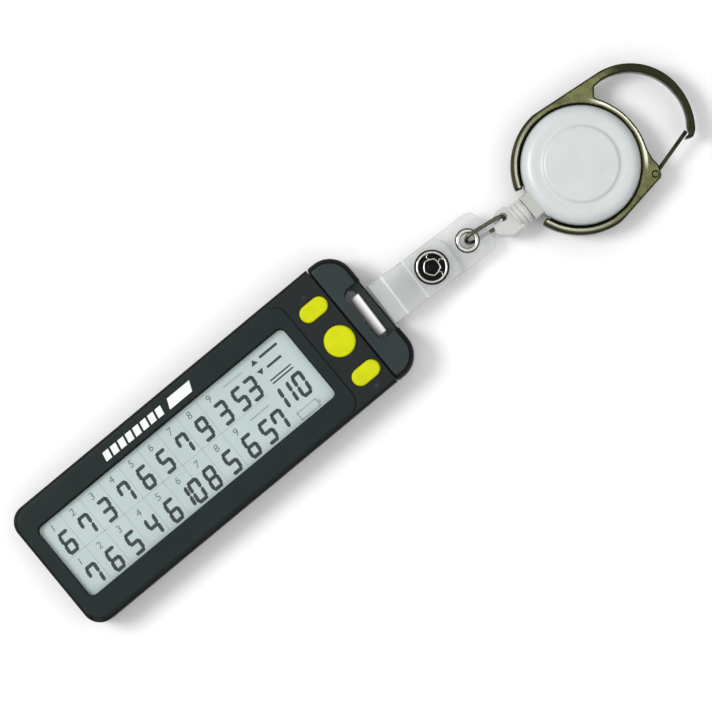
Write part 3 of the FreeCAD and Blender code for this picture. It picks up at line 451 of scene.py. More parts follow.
def softened(node, edge, segments, angle=30):
    """A copy of a CAD node with its sharp edges rounded, standing for the node."""
    mesh = NODES[node].data.copy()
    mesh.materials.clear()
    work = bmesh.new()
    work.from_mesh(mesh)
    bmesh.ops.remove_doubles(work, verts=work.verts, dist=0.001 * MM)
    bmesh.ops.dissolve_limit(work, angle_limit=COPLANAR, verts=work.verts, edges=work.edges)
    work.to_mesh(mesh)
    work.free()
    piece = new_piece(f"{node}_shell", mesh, None, SLOT_OF[node], [node])
    bevel = piece.modifiers.new("Edges", "BEVEL")
    bevel.width = edge
    bevel.segments = segments
    bevel.limit_method = "ANGLE"
    bevel.angle_limit = math.radians(angle)
    bevel.use_clamp_overlap = True
    applied(piece)
    smooth(piece.data, angle)
    level = piece.modifiers.new("Normals", "WEIGHTED_NORMAL")
    level.keep_sharp = True
    applied(piece)
    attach(piece, BODY_OF[node])
    return piece


def paint_cad():
    """Give every CAD node its own slot's material and smooth shading."""
    for node, item in NODES.items():
        item.data.materials.clear()
        item.data.materials.append(MATERIALS[SLOT_OF[node]])
        smooth(item.data)


# ---------------------------------------------------------------- camera, floor and light

LEAN = math.radians(39.7)  # the counter's long axis above the picture's horizontal
TILT = math.radians(2.0)  # the camera's lean off the vertical, towards -Y
VIEW_WIDTH = 188.4 * MM
AIM = Vector((42.6 * MM, -6.85 * MM, 8 * MM))
LENS, SENSOR = 150.0, 36.0
HORIZON, ZENITH = 0.15, 0.75  # sine of the height where the light dome begins and is full
DOME_LEVELS, DOME_LIGHT = (0.2, 1.0), 0.95
KEY = ((-0.38, 0.48, 0.78), 0.42, 5.6)  # a light's place and size in metres, and its watts
FILL = ((0.45, -0.45, 0.7), 0.8, 0.8)


def add_camera():
    """The photograph's viewpoint: almost straight down, with the counter leaning in the picture."""
    data = bpy.data.cameras.new("Camera")
    data.lens, data.sensor_width = LENS, SENSOR
    camera = bpy.data.objects.new("Camera", data)
    bpy.context.scene.collection.objects.link(camera)
    away = VIEW_WIDTH / 2 / (SENSOR / 2 / LENS)
    back = Vector((0, -math.sin(TILT), math.cos(TILT)))
    right = Vector((math.cos(LEAN), -math.sin(LEAN), 0))
    right = (right - back * right.dot(back)).normalized()
    up = back.cross(right)
    turn = Matrix((right, up, back)).transposed().to_4x4()
    camera.matrix_world = Matrix.Translation(AIM + back * away) @ turn
    bpy.context.scene.camera = camera


def add_floor():
    """A plain pale floor, wide enough to fill the picture."""
    bpy.ops.mesh.primitive_plane_add(size=6.0, location=(0, 0, -0.02 * MM))
    floor = bpy.context.object
    floor.name = "Floor"
    shader = Shader("floor", (0.86, 0.86, 0.86), 0.8)
    shader.mottle(shader.noise(60 * MM), 0.99, 1.01)
    floor.data.materials.append(shader.material)


def add_light(name, place, size, power):
    """A round soft light that faces the object."""
    data = bpy.data.lights.new(name, "AREA")
    data.shape = "DISK"
    data.size, data.energy = size, power
    light = bpy.data.objects.new(name, data)
    bpy.context.scene.collection.objects.link(light)
    light.location = place
    light.rotation_mode = "QUATERNION"
    light.rotation_quaternion = (Vector(place) - AIM).to_track_quat("Z", "Y")


def add_lighting():
    """Soft studio light: an overhead dome that dims towards the horizon, a key and a fill."""
    add_light("Key", *KEY)
    add_light("Fill", *FILL)
    world = bpy.data.worlds.new("Studio")
    bpy.context.scene.world = world
    world.use_nodes = True
    nodes, links = world.node_tree.nodes, world.node_tree.links
    direction = nodes.new("ShaderNodeTexCoord")
    axes = nodes.new("ShaderNodeSeparateXYZ")
    dome = nodes.new("ShaderNodeValToRGB")
    dome.color_ramp.interpolation = "EASE"
    for element, height, level in zip(dome.color_ramp.elements, (HORIZON, ZENITH), DOME_LEVELS):
        element.position = height
        element.color = (level, level, level, 1.0)
    links.new(direction.outputs["Generated"], axes.inputs["Vector"])
    links.new(axes.outputs["Z"], dome.inputs["Fac"])
    links.new(dome.outputs["Color"], nodes["Background"].inputs["Color"])
    nodes["Background"].inputs["Strength"].default_value = DOME_LIGHT
    bpy.context.scene.view_settings.view_transform = "Standard"


# ---------------------------------------------------------------- building shapes

def turned(name, centre, profile, body, slot, replaces=()):
    """Revolve a profile of (radius, height) points in mm about Z through a centre."""
    work = bmesh.new()
    rings = []
    for radius, height in profile:
        if radius == 0:
            rings.append([work.verts.new((0, 0, height * MM))])
            continue
        ring = []
        for step in range(ROUND_STEPS):
            angle = 2 * math.pi * step / ROUND_STEPS
            place = Vector((radius * math.cos(angle), radius * math.sin(angle), height)) * MM
            ring.append(work.verts.new(place))
        rings.append(ring)
    closed = len(rings[0]) > 1 and len(rings[-1]) > 1
    for one, two in zip(rings, rings[1:] + (rings[:1] if closed else [])):
        join_rings(work, one, two)
    bmesh.ops.recalc_face_normals(work, faces=work.faces)
    mesh = mesh_of(work, name)
    mesh.transform(Matrix.Translation(centre))
    smooth(mesh, 40)
    return new_piece(name, mesh, body, slot, replaces)


def join_rings(work, one, two):
    """Faces between two rings of points, either of which may be a single point."""
    count = max(len(one), len(two))
    for step in range(count):
        after = (step + 1) % count
        corners = [one[step % len(one)], one[after % len(one)], two[after % len(two)], two[step % len(two)]]
        unique = list(dict.fromkeys(corners))
        if len(unique) > 2:
            work.faces.new(unique)


def swept(path, outline, closed, name):
    """Carry an outline, given at each path frame, along the frames."""
    work = bmesh.new()
    rings = []
    for place, sideways, upward, scale in path:
        ring = []
        for across, up in outline:
            ring.append(work.verts.new(place + sideways * (across * scale) + upward * up))
        rings.append(ring)
    for one, two in zip(rings, rings[1:] + (rings[:1] if closed else [])):
        join_rings(work, one, two)
    bmesh.ops.recalc_face_normals(work, faces=work.faces)
    return mesh_of(work, name)


def tube(name, points, radius, closed, steps=20):
    """A round wire along points."""
    count = len(points)
    outline = [(radius * math.cos(2 * math.pi * k / steps), radius * math.sin(2 * math.pi * k / steps))
               for k in range(steps)]
    path, upward = [], None
    for index, place in enumerate(points):
        after = points[(index + 1) % count] if closed or index < count - 1 else place
        before = points[index - 1] if closed or index > 0 else place
        along = (after - before).normalized()
        guess = upward or along.orthogonal()
        upward = (guess - along * guess.dot(along)).normalized()
        path.append((place, along.cross(upward), upward, 1.0))
    mesh = swept(path, outline, closed, name)
    if not closed:
        close_ends(mesh)
    smooth(mesh, 50)
    return mesh


def close_ends(mesh, chosen=lambda edge: True):
    """Fill a mesh's open ends, or only those whose edges a test picks."""
    work = bmesh.new()
    work.from_mesh(mesh)
    edges = [edge for edge in work.edges if edge.is_boundary and chosen(edge)]
    bmesh.ops.holes_fill(work, edges=edges, sides=0)
    bmesh.ops.recalc_face_normals(work, faces=work.faces)
    work.to_mesh(mesh)
    work.free()


def flat_shapes(name, outlines, level, body, slot, material):
    """Thin printed shapes: closed outlines in mm, drawn flat at a level in mm."""
    work = bmesh.new()
    for outline in outlines:
        work.faces.new([work.verts.new((x * MM, y * MM, level * MM)) for x, y in outline])
    for face in work.faces:
        if face.normal.z < 0 or sum_turn(face) < 0:
            face.normal_flip()
    return new_piece(name, mesh_of(work, name), body, slot, materials=[material])


def sum_turn(face):
    """Positive for a face whose corners run anticlockwise seen from +Z."""
    corners = [loop.vert.co for loop in face.loops]
    return sum(a.x * b.y - a.y * b.x for a, b in zip(corners, corners[1:] + corners[:1]))


def paint_shade_faces(piece, chosen, material=PAINTED_SHADE_EDGE):
    """Paint shade on the faces that a test picks by face and by its distance in mm from the piece's middle.
    """
    low = Vector(min(v.co[k] for v in piece.data.vertices) for k in range(3))
    high = Vector(max(v.co[k] for v in piece.data.vertices) for k in range(3))
    middle = (low + high) / 2
    piece.data.materials.append(material)
    for face in piece.data.polygons:
        if chosen(face, (face.center - middle).xy.length / MM):
            face.material_index = 1


# ---------------------------------------------------------------- case

# the sides of the case get painted shade
SIDE_STEEPNESS = 0.93  # the case's faces that lean over further than this are its sides


def case_shells():
    """The case, its door, screws and keys, each a copy of the CAD part with worn-soft edges."""
    softened("battery_door", 0.12 * MM, 2)
    softened("display_bezel", 0.15 * MM, 3)
    shells = [softened("front_case", 0.12 * MM, 2), softened("rear_case", 0.12 * MM, 2),
              softened("end_cap", 0.2 * MM, 3)]
    shells[-1].data.materials[0] = CAP_GREY
    # painted shade on the sides of the case halves and the end cap
    for shell in shells:
        paint_shade_faces(shell, lambda face, reach: abs(face.normal.z) < SIDE_STEEPNESS, CASE_SIDE_SHADE)
    softened("case_screws", 0.06 * MM, 2)
    for node in ("key_up", "key_select", "key_down"):
        softened(node, 0.25 * MM, 4)
    for key in ("up", "select", "down"):
        snap_dome(f"dome_{key}")


def snap_dome(node):
    """A key's thin metal dome, a smoothed copy of the CAD part."""
    base = middle_of(node)
    base.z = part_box(node)[0][2]
    piece = new_piece(f"{node}_leaf", NODES[node].data.copy(), "counter", SLOT_OF[node], [node])
    smooth(piece.data, 30)
    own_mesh(piece)


# ---------------------------------------------------------------- display

COLUMN_START, COLUMN_PITCH = -48.0, 6.69  # the nine columns of scores, mm
ROWS = ((3.8, "673765793"), (-7.5, "7654610856"))
INDEX_LEVELS = (9.1, -2.2)
FIGURE_SHIFT = 0.7  # the scores stand a little right of their columns' middles
BIG = (3.6, 6.7, 1.0)  # a score digit's width, height and stroke
TEN = (("1", -2.3), ("0", 1.5))  # the two digits of a ten, about their column
SUB_TOTALS, SUB_TOTAL_PLACE, SUB_TOTAL_STEP = ((3.8, "53"), (-7.5, "57")), 12.0, 4.2
TOTAL, TOTAL_LEVEL, TOTAL_SIZE = (("1", 19.6), ("1", 22.4), ("0", 26.8)), -3.4, (3.5, 7.0, 1.0)
ARROWS = [[(19.6, 8.4), (21.6, 8.4), (20.6, 9.9)], [(19.6, 6.6), (21.6, 6.6), (20.6, 5.1)]]
DASHES = ((22.6, 28.6, 8.8, 9.5), (22.6, 27.4, 5.5, 6.2), (21.0, 28.0, 2.3, 2.7), (21.0, 28.0, 1.3, 1.7))
BATTERY, BATTERY_TIP = (20.8, 27.2, -11.0, -8.5, 0.3), (27.2, 27.8, -10.3, -9.2)
INDEX_SIZE, INDEX_SHIFT = 2.9, -0.3
SLANT = 0.09
INK_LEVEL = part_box("lcd_panel")[1][2] / MM + 0.015
SEGMENTS = {"0": "abcdef", "1": "bc", "3": "abcdg", "4": "bcfg", "5": "acdfg", "6": "acdefg",
            "7": "abcf", "8": "abcdefg", "9": "abcdfg"}


def segment_shape(letter, width, height, stroke):
    """One bar of a seven-segment digit, with pointed ends, about the digit's centre."""
    gap, half = 0.06, stroke / 2
    side, top, middle = width / 2 - half, height / 2 - half, 0.0
    if letter in "adg":
        level = {"a": top, "d": -top, "g": middle}[letter]
        reach = side - gap
        shoulder, point = reach - half * 0.2, reach + half * 0.6
        raised = 0.0 if letter == "g" else half * 0.4
        return [(-point, level + raised), (-shoulder, level + half), (shoulder, level + half),
                (point, level), (shoulder, level - half), (-shoulder, level - half)]
    across = side if letter in "bc" else -side
    low, high = (middle, top) if letter in "bf" else (-top, middle)
    low, high = low + gap, high - gap
    return [(across, low), (across + half, low + half), (across + half, high - half * 0.3),
            (across, high + half * 0.4), (across - half, high - half), (across - half, low + half)]


def digit_shapes(text, x, y, width, height, stroke, step=0.0):
    """Outlines of a run of seven-segment digits, the first centred at x."""
    outlines = []
    for index, figure in enumerate(text):
        for letter in SEGMENTS[figure]:
            outline = segment_shape(letter, width, height, stroke)
            shift = x + index * step
            outlines.append([(shift + px + py * SLANT, y + py) for px, py in outline])
    return outlines


def box_outline(left, right, low, high):
    return [(left, low), (right, low), (right, high), (left, high)]


def frame_outlines(left, right, low, high, stroke):
    """Four bars round a box."""
    return [box_outline(left, right, high - stroke, high), box_outline(left, right, low, low + stroke),
            box_outline(left, left + stroke, low, high), box_outline(right - stroke, right, low, high)]


def index_figures():
    """The small numbers 1 to 9 over each row of scores."""
    for row, level in enumerate(INDEX_LEVELS):
        for column in range(9):
            data = bpy.data.curves.new(f"index_{row}_{column}", "FONT")
            data.body = str(column + 1)
            data.size = INDEX_SIZE * MM
            data.align_x = data.align_y = "CENTER"
            data.shear = SLANT
            figure = bpy.data.objects.new(data.name, data)
            bpy.context.scene.collection.objects.link(figure)
            place = COLUMN_START + INDEX_SHIFT + COLUMN_PITCH * column
            figure.location = (place * MM, level * MM, INK_LEVEL * MM)
            bpy.context.view_layer.update()
            mesh = bpy.data.meshes.new_from_object(figure)
            mesh.transform(figure.matrix_world)
            bpy.data.objects.remove(figure)
            new_piece(f"index_{row}_{column}", mesh, "counter", "lcd_glass", materials=[INDEX_INK])


def score_shapes(level, text, ten_column):
    """A row of scores, one figure to a column; the column of a ten holds two."""
    shapes, figures, column = [], list(text), 0
    while figures:
        place = COLUMN_START + FIGURE_SHIFT + COLUMN_PITCH * column
        if column == ten_column:
            for figure, shift in TEN:
                shapes += digit_shapes(figure, place + shift, level, *BIG)
            figures = figures[2:]
        else:
            shapes += digit_shapes(figures.pop(0), place, level, *BIG)
        column += 1
    return shapes


def display_figures():
    """Scores, sub-totals, total, and the plain arrows and dashes beside them."""
    shapes = []
    for (level, text), ten_column in zip(ROWS, (None, 5)):
        shapes += score_shapes(level, text, ten_column)
    for level, text in SUB_TOTALS:
        shapes += digit_shapes(text, SUB_TOTAL_PLACE, level, *BIG, step=SUB_TOTAL_STEP)
    for figure, place in TOTAL:
        shapes += digit_shapes(figure, place, TOTAL_LEVEL, *TOTAL_SIZE)
    shapes += ARROWS + [box_outline(*dash) for dash in DASHES]
    flat_shapes("scores", shapes, INK_LEVEL, "counter", "lcd_glass", DISPLAY_INK)


def display_grid():
    """The faint battery mark, the lines between the columns and rows, and a dash over each sub-total."""
    faint = frame_outlines(*BATTERY) + [box_outline(*BATTERY_TIP)]
    for column in range(1, 9):
        middle = COLUMN_START + COLUMN_PITCH * (column - 0.5)
        faint.append(box_outline(middle - 0.08, middle + 0.08, -10.8, 11.0))
    faint.append(box_outline(-51.0, 18.5, 0.0, 0.16))
    faint += [box_outline(10.2, 16.6, level - 0.2, level + 0.2) for level in INDEX_LEVELS]
    flat_shapes("display_grid", faint, INK_LEVEL - 0.005, "counter", "lcd_glass", DISPLAY_FAINT)


def display_mask():
    """The black border under the lens, partly a black mask and partly painted shadow along the window's
    edges.
    """
    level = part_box("lens_window")[0][2] / MM - 0.02
    outer = box_outline(-53.0, 33.6, -12.6, 13.1)
    inner = rounded_box(-51.75, 32.15, -11.6, 11.5, 1.6)
    work = bmesh.new()
    rings = []
    for outline in (outer, inner):
        points = [work.verts.new((x * MM, y * MM, level * MM)) for x, y in outline]
        rings.append([work.edges.new((a, b)) for a, b in zip(points, points[1:] + points[:1])])
    bmesh.ops.triangle_fill(work, use_beauty=True, edges=rings[0] + rings[1], normal=(0, 0, 1))
    mesh = mesh_of(work, "display_mask")
    new_piece("display_mask", mesh, "counter", "case_black", materials=[BLACK_MASK_AND_SHADE])


def rounded_box(left, right, low, high, radius):
    """A box outline with rounded corners."""
    points = []
    for x, y, start in ((right, high, 0), (left, high, 90), (left, low, 180), (right, low, 270)):
        centre_x = x - radius if start in (0, 270) else x + radius
        centre_y = y - radius if start < 180 else y + radius
        for step in range(CORNER_STEPS + 1):
            angle = math.radians(start + 90 * step / CORNER_STEPS)
            points.append((centre_x + radius * math.cos(angle), centre_y + radius * math.sin(angle)))
    return points


PRINTED_BOX = [(-4.2, 13.5), (3.4, 13.5), (4.6, 16.3), (-3.0, 16.3)]
PRINTED_BARS, BARS_START, BAR_PITCH = 8, -25.8, 2.55
KEY_MARKS = [[(41.0, 13.3), (42.6, 13.3), (41.8, 14.6)], [(41.0, -15.9), (42.6, -15.9), (41.8, -17.2)]]


def printed_marks():
    """Blank slanted bars and a blank box on the bezel, and small dull arrows by the keys."""
    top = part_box("display_bezel")[1][2] / MM + 0.012
    bars = [PRINTED_BOX]
    for bar in range(PRINTED_BARS):
        left = BARS_START + BAR_PITCH * bar
        bars.append([(left, 13.6), (left + 1.9, 13.6), (left + 2.4, 16.1), (left + 0.5, 16.1)])
    flat_shapes("name_bar", bars, top, "counter", "bezel_grey", PRINT_WHITE)
    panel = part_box("front_case")[1][2] / MM + 0.012
    flat_shapes("key_marks", KEY_MARKS, panel, "counter", "case_black", PRINT_DULL)


# ---------------------------------------------------------------- strap

STRAP_ORIGIN, STRAP_ACROSS = hinge_of("strap_swing")
UP = Vector((0, 0, 1))
STRAP_ALONG = STRAP_ACROSS.cross(UP).normalized()
STRAP_WIDTH, STRAP_THICK = 12.4, 0.9  # mm, as all the lengths below
LOOP, BULGE = 2.6, 1.0  # the loop's radius round the bar, and how much longer it is
BAR_REACH = 2.0  # how far the strap lies flat on the bar
FOLD, SECOND_FOLD = 6.2, 13.2  # the flap's creases, from the loop's axis
SNAP_PLACE, EYELET_PLACE = 18.6, 30.5
TAIL_LEVEL, FLAP_LEVEL = -1.3, 0.8
TAIL_TIP, FLAP_TIP, TIP_CORNER = 36.6, 25.0, 3.0
EYELET_HOLE = 2.4
# the crease faces carry a painted highlight, and the bend in the slot painted light
CREASE, BEND, CLEAREST = 1, 2, 3  # the strap's material numbers after its plain vinyl


def on_strap(along, up):
    """A point given along and above the strap, in mm."""
    return STRAP_ORIGIN + (STRAP_ALONG * along + UP * up) * MM


def eased(corners, radius):
    """A bent line with its corners rounded by arcs that start a radius away."""
    points = [Vector(corners[0])]
    for before, corner, after in zip(corners, corners[1:], corners[2:]):
        corner = Vector(corner)
        start = corner + (Vector(before) - corner).normalized() * radius
        finish = corner + (Vector(after) - corner).normalized() * radius
        for step in range(CORNER_STEPS + 1):
            part = step / CORNER_STEPS
            points.append(start.lerp(corner, part).lerp(corner.lerp(finish, part), part))
    points.append(Vector(corners[-1]))
    return points


def divided(points, longest):
    """Add points so that no step is longer than a length."""
    dense = [points[0]]
    for before, after in zip(points, points[1:]):
        pieces = max(1, math.ceil((after - before).length / longest))
        dense += [before.lerp(after, k / pieces) for k in range(1, pieces + 1)]
    return dense


def ribbon(name, line, tip):
    """A flat strip with rounded long edges along a line of (along, up); tip is its rounded end."""
    half, thick = STRAP_WIDTH / 2, STRAP_THICK / 2
    edge = thick * 0.8
    outline = []
    for side_x, side_y, start in ((1, 1, 0), (-1, 1, 90), (-1, -1, 180), (1, -1, 270)):
        for step in range(5):
            angle = math.radians(start + 22.5 * step)
            outline.append(((side_x * (half - edge) + edge * math.cos(angle)) * MM,
                            (side_y * (thick - edge) + edge * math.sin(angle)) * MM))
    path = []
    for index, point in enumerate(line):
        before, after = line[max(index - 1, 0)], line[min(index + 1, len(line) - 1)]
        along = (after - before).normalized()
        normal = UP * along.x - STRAP_ALONG * along.y
        left = max(0.0, tip - point.x)
        scale = 1.0
        if left < TIP_CORNER:
            inset = TIP_CORNER - math.sqrt(TIP_CORNER ** 2 - (TIP_CORNER - left) ** 2)
            scale = (half - inset) / half
        path.append((on_strap(point.x, point.y), STRAP_ACROSS, normal, scale))
    return swept(path, outline, False, name)


def along_strap(face):
    """How far along the strap a face is from the loop's axis, in mm."""
    return (face.center - STRAP_ORIGIN).dot(STRAP_ALONG) / MM


def highlight_crease_faces(mesh, places, half_width):
    """Paint a highlight on the faces near each crease."""
    for face in mesh.polygons:
        if any(abs(along_strap(face) - place) < half_width for place in places):
            face.material_index = CREASE


def punched(piece, centre, radius):
    """Cut a round hole through a piece along Z."""
    bpy.ops.mesh.primitive_cylinder_add(vertices=64, radius=radius * MM, depth=4 * MM, location=centre)
    punch = bpy.context.object
    cut = piece.modifiers.new("Punch", "BOOLEAN")
    cut.object, cut.operation, cut.solver = punch, "DIFFERENCE", "EXACT"
    bpy.context.view_layer.update()
    applied(piece)
    bpy.data.objects.remove(punch)


def tail_strip():
    """The long layer: from its rounded tip along the bottom, round the bar and back to the fold."""
    turn = []
    for degrees in range(-180, 1, 8):
        angle = math.radians(degrees)
        turn.append(Vector((-abs(math.sin(angle)) * (LOOP + BULGE), LOOP * math.cos(angle))))
    line = eased([(TAIL_TIP, TAIL_LEVEL), (10.2, TAIL_LEVEL), (4.2, -LOOP), (0, -LOOP)], 1.2)
    line = divided(line, 0.5) + turn[1:] + divided([turn[-1], Vector((FOLD, LOOP))], 0.3)[1:]
    mesh = ribbon("strap_tail_strip", line, TAIL_TIP)
    # painted light on the loop's bend in the slot; over the bar the strap is clearest
    for face in mesh.polygons:
        if along_strap(face) < -1.3:
            face.material_index = BEND
        elif along_strap(face) < BAR_REACH:
            face.material_index = CLEAREST
    highlight_crease_faces(mesh, (FOLD,), 0.25)
    return mesh


def flap_strip():
    """The short layer: from the fold over the second crease to the snap and its rounded tip."""
    line = eased([(FOLD, LOOP), (FOLD + 0.6, LOOP), (SECOND_FOLD, FLAP_LEVEL), (FLAP_TIP, FLAP_LEVEL)], 0.25)
    mesh = ribbon("strap_flap_strip", divided(line, 0.3), FLAP_TIP)
    highlight_crease_faces(mesh, (FOLD, SECOND_FOLD), 0.3)
    return mesh


def strap_pieces():
    """The two layers of the strap, which meet at the fold."""
    tail, flap = tail_strip(), flap_strip()
    for mesh in (tail, flap):
        close_ends(mesh, past_fold)
        smooth(mesh, 40)
    materials = [MATERIALS["strap_vinyl"], STRAP_CREASE_HIGHLIGHT, STRAP_BEND_LIGHT, STRAP_CLEAREST]
    tail_piece = new_piece("strap_tail_strip", tail, None, "strap_vinyl", ["strap_tail"], materials)
    punched(tail_piece, on_strap(EYELET_PLACE, TAIL_LEVEL), EYELET_HOLE)
    smooth(tail_piece.data, 40)
    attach(tail_piece, "strap")
    flap_piece = new_piece("strap_flap_strip", flap, None, "strap_vinyl", ["strap_flap"], materials)
    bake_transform(flap_piece)


def past_fold(edge):
    """True beyond the fold: the ends that meet at the fold stay open to each other."""
    fold = STRAP_ORIGIN + STRAP_ALONG * (FOLD + 1.0) * MM
    return (edge.verts[0].co - fold).dot(STRAP_ALONG) > 0


SNAP_RING = [(3.6, 0.02), (3.6, 0.5), (3.7, 0.66), (3.9, 0.74), (4.1, 0.68), (4.25, 0.5), (4.5, 0.3),
             (4.68, 0.14), (4.7, 0.02)]
SNAP_WELL = [(0, 0.06), (3.55, 0.06), (3.58, 0.3), (3.58, 0.01), (0, 0.01)]
SNAP_BUTTON = [(0, 0.3), (0.9, 0.26), (1.3, 0.12), (1.35, 0.05)]
# painted shade on the ring's outer slope starts at this radius
SNAP_RIM = 4.22  # the ring is dark from this radius outwards
SPRING_RADIUS, SPRING_ROUND, SPRING_LEVEL = 2.3, 0.45, 0.3
SPOKES, SPOKE_START, SPOKE_REACH, SPOKE_LEVEL = (72, 0, -72), 2.2, 1.35, 0.28


def snap_spring(centre):
    """The sprung wire: a five-sided ring whose sides are bowed."""
    wire = []
    for side in range(5):
        one, two = (math.radians(36 + 72 * (side + k)) for k in (0, 1))
        for step in range(8):
            first, second = (Vector((math.cos(angle), math.sin(angle), 0)) for angle in (one, two))
            flat = first.lerp(second, step / 8)
            bowed = flat.lerp(flat.normalized(), SPRING_ROUND) * SPRING_RADIUS
            wire.append(centre + (STRAP_ALONG * bowed.x + STRAP_ACROSS * bowed.y + UP * SPRING_LEVEL) * MM)
    new_piece("snap_spring", tube("snap_spring", wire, 0.2 * MM, True, 10), "flap", "nickel")


def snap_spokes(centre):
    """Three bent wires from the spring to the well's wall."""
    for number, angle in enumerate(SPOKES):
        spoke = []
        for step in range(8):
            reach = SPOKE_START + SPOKE_REACH * step / 7
            turn = math.radians(angle + 10 * math.sin(step / 2.2))
            along, across = STRAP_ALONG * math.cos(turn), STRAP_ACROSS * math.sin(turn)
            spoke.append(centre + ((along + across) * reach + UP * SPOKE_LEVEL) * MM)
        name = f"snap_spoke_{number}"
        new_piece(name, tube(name, spoke, 0.13 * MM, False, 10), "flap", "nickel")


def snap_pieces():
    """The snap as seen from above: a rolled ring with painted shade on its outer slope, a well and a button
    painted black as the shade in its hollow, and a sprung wire.
    """
    centre = on_strap(SNAP_PLACE, FLAP_LEVEL + STRAP_THICK / 2)
    ring = turned("snap_ring", centre, SNAP_RING, "flap", "nickel", ["snap_cap"])
    # painted shade on the ring's outer slope
    paint_shade_faces(ring, lambda face, reach: reach > SNAP_RIM)
    well = turned("snap_well", centre, SNAP_WELL, "flap", "nickel")
    snap_spring(centre)
    snap_spokes(centre)
    button = turned("snap_button", centre, SNAP_BUTTON, "flap", "nickel")
    # painted shade: the well and the button are black for the shade in the snap's hollow
    for piece in (well, button):
        piece.data.materials[0] = BLACK_MASK_AND_SHADE
    for node in ("snap_socket", "snap_stud", "snap_post"):
        softened(node, 0.08 * MM, 2)


def eyelet_pieces():
    """The rolled eyelet and its washer under the strap."""
    skin = STRAP_THICK / 2
    rolled = [(2.0, -skin - 0.42), (2.0, skin + 0.1)]
    for step in range(9):
        angle = math.radians(180 - 20 * step)
        rolled.append((2.62 + 0.62 * math.cos(angle), skin + 0.1 + 0.36 * math.sin(max(angle, 0))))
    rolled += [(3.3, skin + 0.02), (2.4, skin + 0.02), (2.4, -skin - 0.42)]
    ring = turned("eyelet_ring", on_strap(EYELET_PLACE, TAIL_LEVEL), rolled, "strap", "nickel", ["eyelet"])
    # painted shade on the eyelet's steep faces and on its outer and inner edges
    paint_shade_faces(ring, lambda face, reach: abs(face.normal.z) < 0.82 or reach > 2.95 or reach < 2.2)
    softened("eyelet_washer", 0.06 * MM, 2)


# ---------------------------------------------------------------- link, fitting and cord

LINK_BEND, LINK_WIRE = 2.2, 0.55  # the radii of its bends and of its wire, mm
PAST_EYELET, PAST_FITTING = 0.3, 0.2  # how far it reaches past its two pivots, mm
CORD_STEPS, CORD_HELD = 24, 6  # steps along the cord, and those held at each end


def link_piece():
    """The wire loop between the eyelet and the fitting's hole."""
    first = hinge_of("link_swing")[0] - STRAP_ALONG * PAST_EYELET * MM
    last, up = hinge_of("fitting_swing")
    last.x += PAST_FITTING * MM
    along = (last - first).normalized()
    up = (up - along * up.dot(along)).normalized()
    points = []
    for centre, start in ((first + along * LINK_BEND * MM, 90), (last - along * LINK_BEND * MM, 270)):
        for step in range(17):
            angle = math.radians(start + 180 * step / 16)
            points.append(centre + (along * math.cos(angle) + up * math.sin(angle)) * LINK_BEND * MM)
    mesh = tube("link_wire_loop", points, LINK_WIRE * MM, True, 24)
    new_piece("link_wire_loop", mesh, "link", "link_wire", ["link_ring"])


def cord_piece():
    """The cord's visible end, a tube along the CAD cord's box."""
    low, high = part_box("cord_lead")
    middle_y, middle_z = (low[1] + high[1]) / 2, (low[2] + high[2]) / 2
    radius = (high[1] - low[1]) / 2
    points = [Vector((low[0] + (high[0] - low[0]) * k / CORD_STEPS, middle_y, middle_z))
              for k in range(CORD_STEPS + 1)]
    mesh = tube("cord_end", points, radius, False, 14)
    piece = new_piece("cord_end", mesh, None, "cord_nylon", ["cord_lead"])
    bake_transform(piece)


# the front cover's outline as (radius, height) in mm, from the middle of its top to its seam
COVER_SHAPE = [(0, 5.2), (9.3, 5.2), (9.6, 5.17), (9.85, 5.06), (10.1, 4.86), (10.35, 4.66), (10.6, 4.54),
               (10.9, 4.51), (11.3, 4.54), (11.8, 4.62), (12.3, 4.68), (12.6, 4.7)]
NOZZLE_SHARE = 0.86  # the part of its room across the cord that the nozzle fills
COVER_ROUND, COVER_RADIUS, COVER_TOP = 3.4, 16.0, 4.7
COVER_INSIDE = [(16.0, 0.55), (15.0, 0.55), (15.0, 0.0), (14.2, 0.0), (14.2, 3.2), (0, 3.2)]


def reel_pieces():
    """The reel's covers, the front one with a softly stepped middle, its bushing and the fitting."""
    centre = middle_of("reel_front_cover")
    centre.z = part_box("reel_front_cover")[1][2] - COVER_SHAPE[0][1] * MM
    rounding = []
    for step in range(13):
        angle = math.radians(90 - 7.5 * step)
        rounding.append((COVER_RADIUS - COVER_ROUND * (1 - math.cos(angle)),
                         COVER_TOP - COVER_ROUND * (1 - math.sin(angle))))
    turned("reel_front_shell", centre, COVER_SHAPE + rounding[1:] + COVER_INSIDE, "reel", "reel_white",
           ["reel_front_cover"])
    softened("reel_rear_cover", 0.1 * MM, 2, 40)
    bushing = softened("cord_bushing", 0.2 * MM, 3)
    bushing.data.materials[0] = BUSHING_GREY
    middle = middle_of("cord_bushing")
    for vert in bushing.data.vertices:
        vert.co.y = middle.y + (vert.co.y - middle.y) * NOZZLE_SHARE
    softened("cord_fitting", 0.22 * MM, 3)


# ---------------------------------------------------------------- carabiner

CASTING_GRID = 0.2 * MM  # the mesh size the casting is rebuilt at
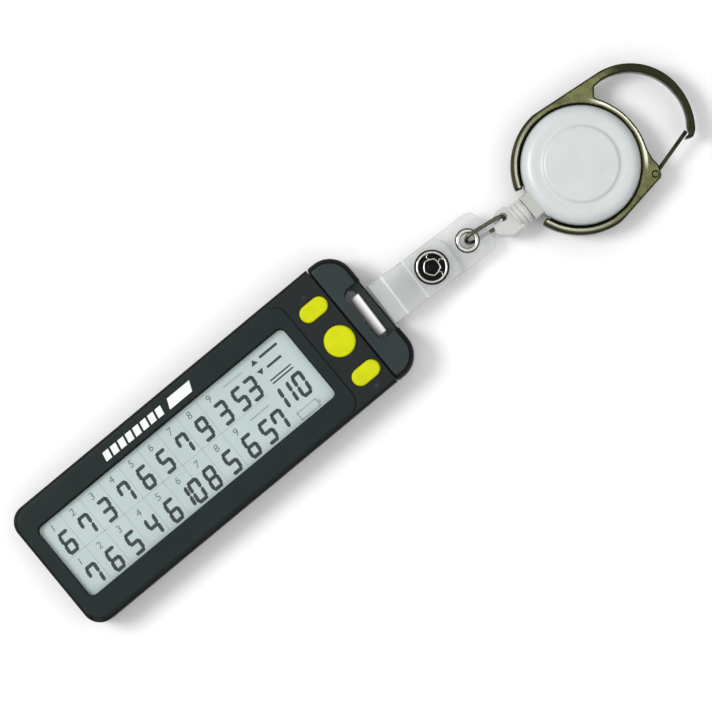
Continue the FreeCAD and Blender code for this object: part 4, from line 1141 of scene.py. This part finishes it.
# the casting's steep faces get painted shade
RIM_STEEPNESS = 0.992  # faces whose normal leans over further than this are dark
CASTING_ROUNDING = 30  # smoothing passes that round its edges
GATE_ANGLE, GATE_LENGTH = 14.8, 14.2  # degrees above +X, and mm from the pin
GATE_EYE, GATE_WIRE = 1.15, 0.55  # the eye's and the wire's radii, mm


def carabiner_frame():
    """The cast frame, rebuilt on an even grid and smoothed so that its edges are well rounded."""
    mesh = NODES["carabiner_frame"].data.copy()
    mesh.materials.clear()
    piece = new_piece("carabiner_casting", mesh, None, "antique_brass", ["carabiner_frame"], [FRAME_BRASS])
    even = piece.modifiers.new("Even", "REMESH")
    even.mode = "VOXEL"
    even.voxel_size = CASTING_GRID
    rounding = piece.modifiers.new("Rounding", "SMOOTH")
    rounding.factor = 0.5
    rounding.iterations = CASTING_ROUNDING
    applied(piece)
    # painted shade on the casting's steep faces
    paint_shade_faces(piece, lambda face, reach: abs(face.normal.z) < RIM_STEEPNESS)
    smooth(piece.data, 60)
    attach(piece, BODY_OF["carabiner_frame"])


def carabiner_pieces():
    """The frame, its gate and the gate's pin."""
    carabiner_frame()
    softened("gate_pin", 0.1 * MM, 2)
    gate_piece()


def gate_piece():
    """The wire gate: an eye round the pin and a straight wire to the nose."""
    pivot = hinge_of("gate_open")[0]
    turn = math.radians(GATE_ANGLE)
    along = Vector((math.cos(turn), math.sin(turn), 0))
    across = Vector((-math.sin(turn), math.cos(turn), 0))
    points = []
    for step in range(20):
        angle = math.radians(90 + 270 * step / 19)
        points.append(pivot + (along * math.cos(angle) + across * math.sin(angle)) * GATE_EYE * MM)
    start, end = points[-1], pivot + along * GATE_LENGTH * MM
    points += [start.lerp(end, part / 12) for part in range(1, 13)]
    mesh = tube("gate_wire_arm", points, GATE_WIRE * MM, False)
    new_piece("gate_wire_arm", mesh, "gate_arm", "gate_wire", ["gate"])


add_camera()
add_floor()
add_lighting()
paint_cad()
case_shells()
display_figures()
display_grid()
index_figures()
display_mask()
printed_marks()
strap_pieces()
snap_pieces()
eyelet_pieces()
link_piece()
cord_piece()
reel_pieces()
carabiner_pieces()
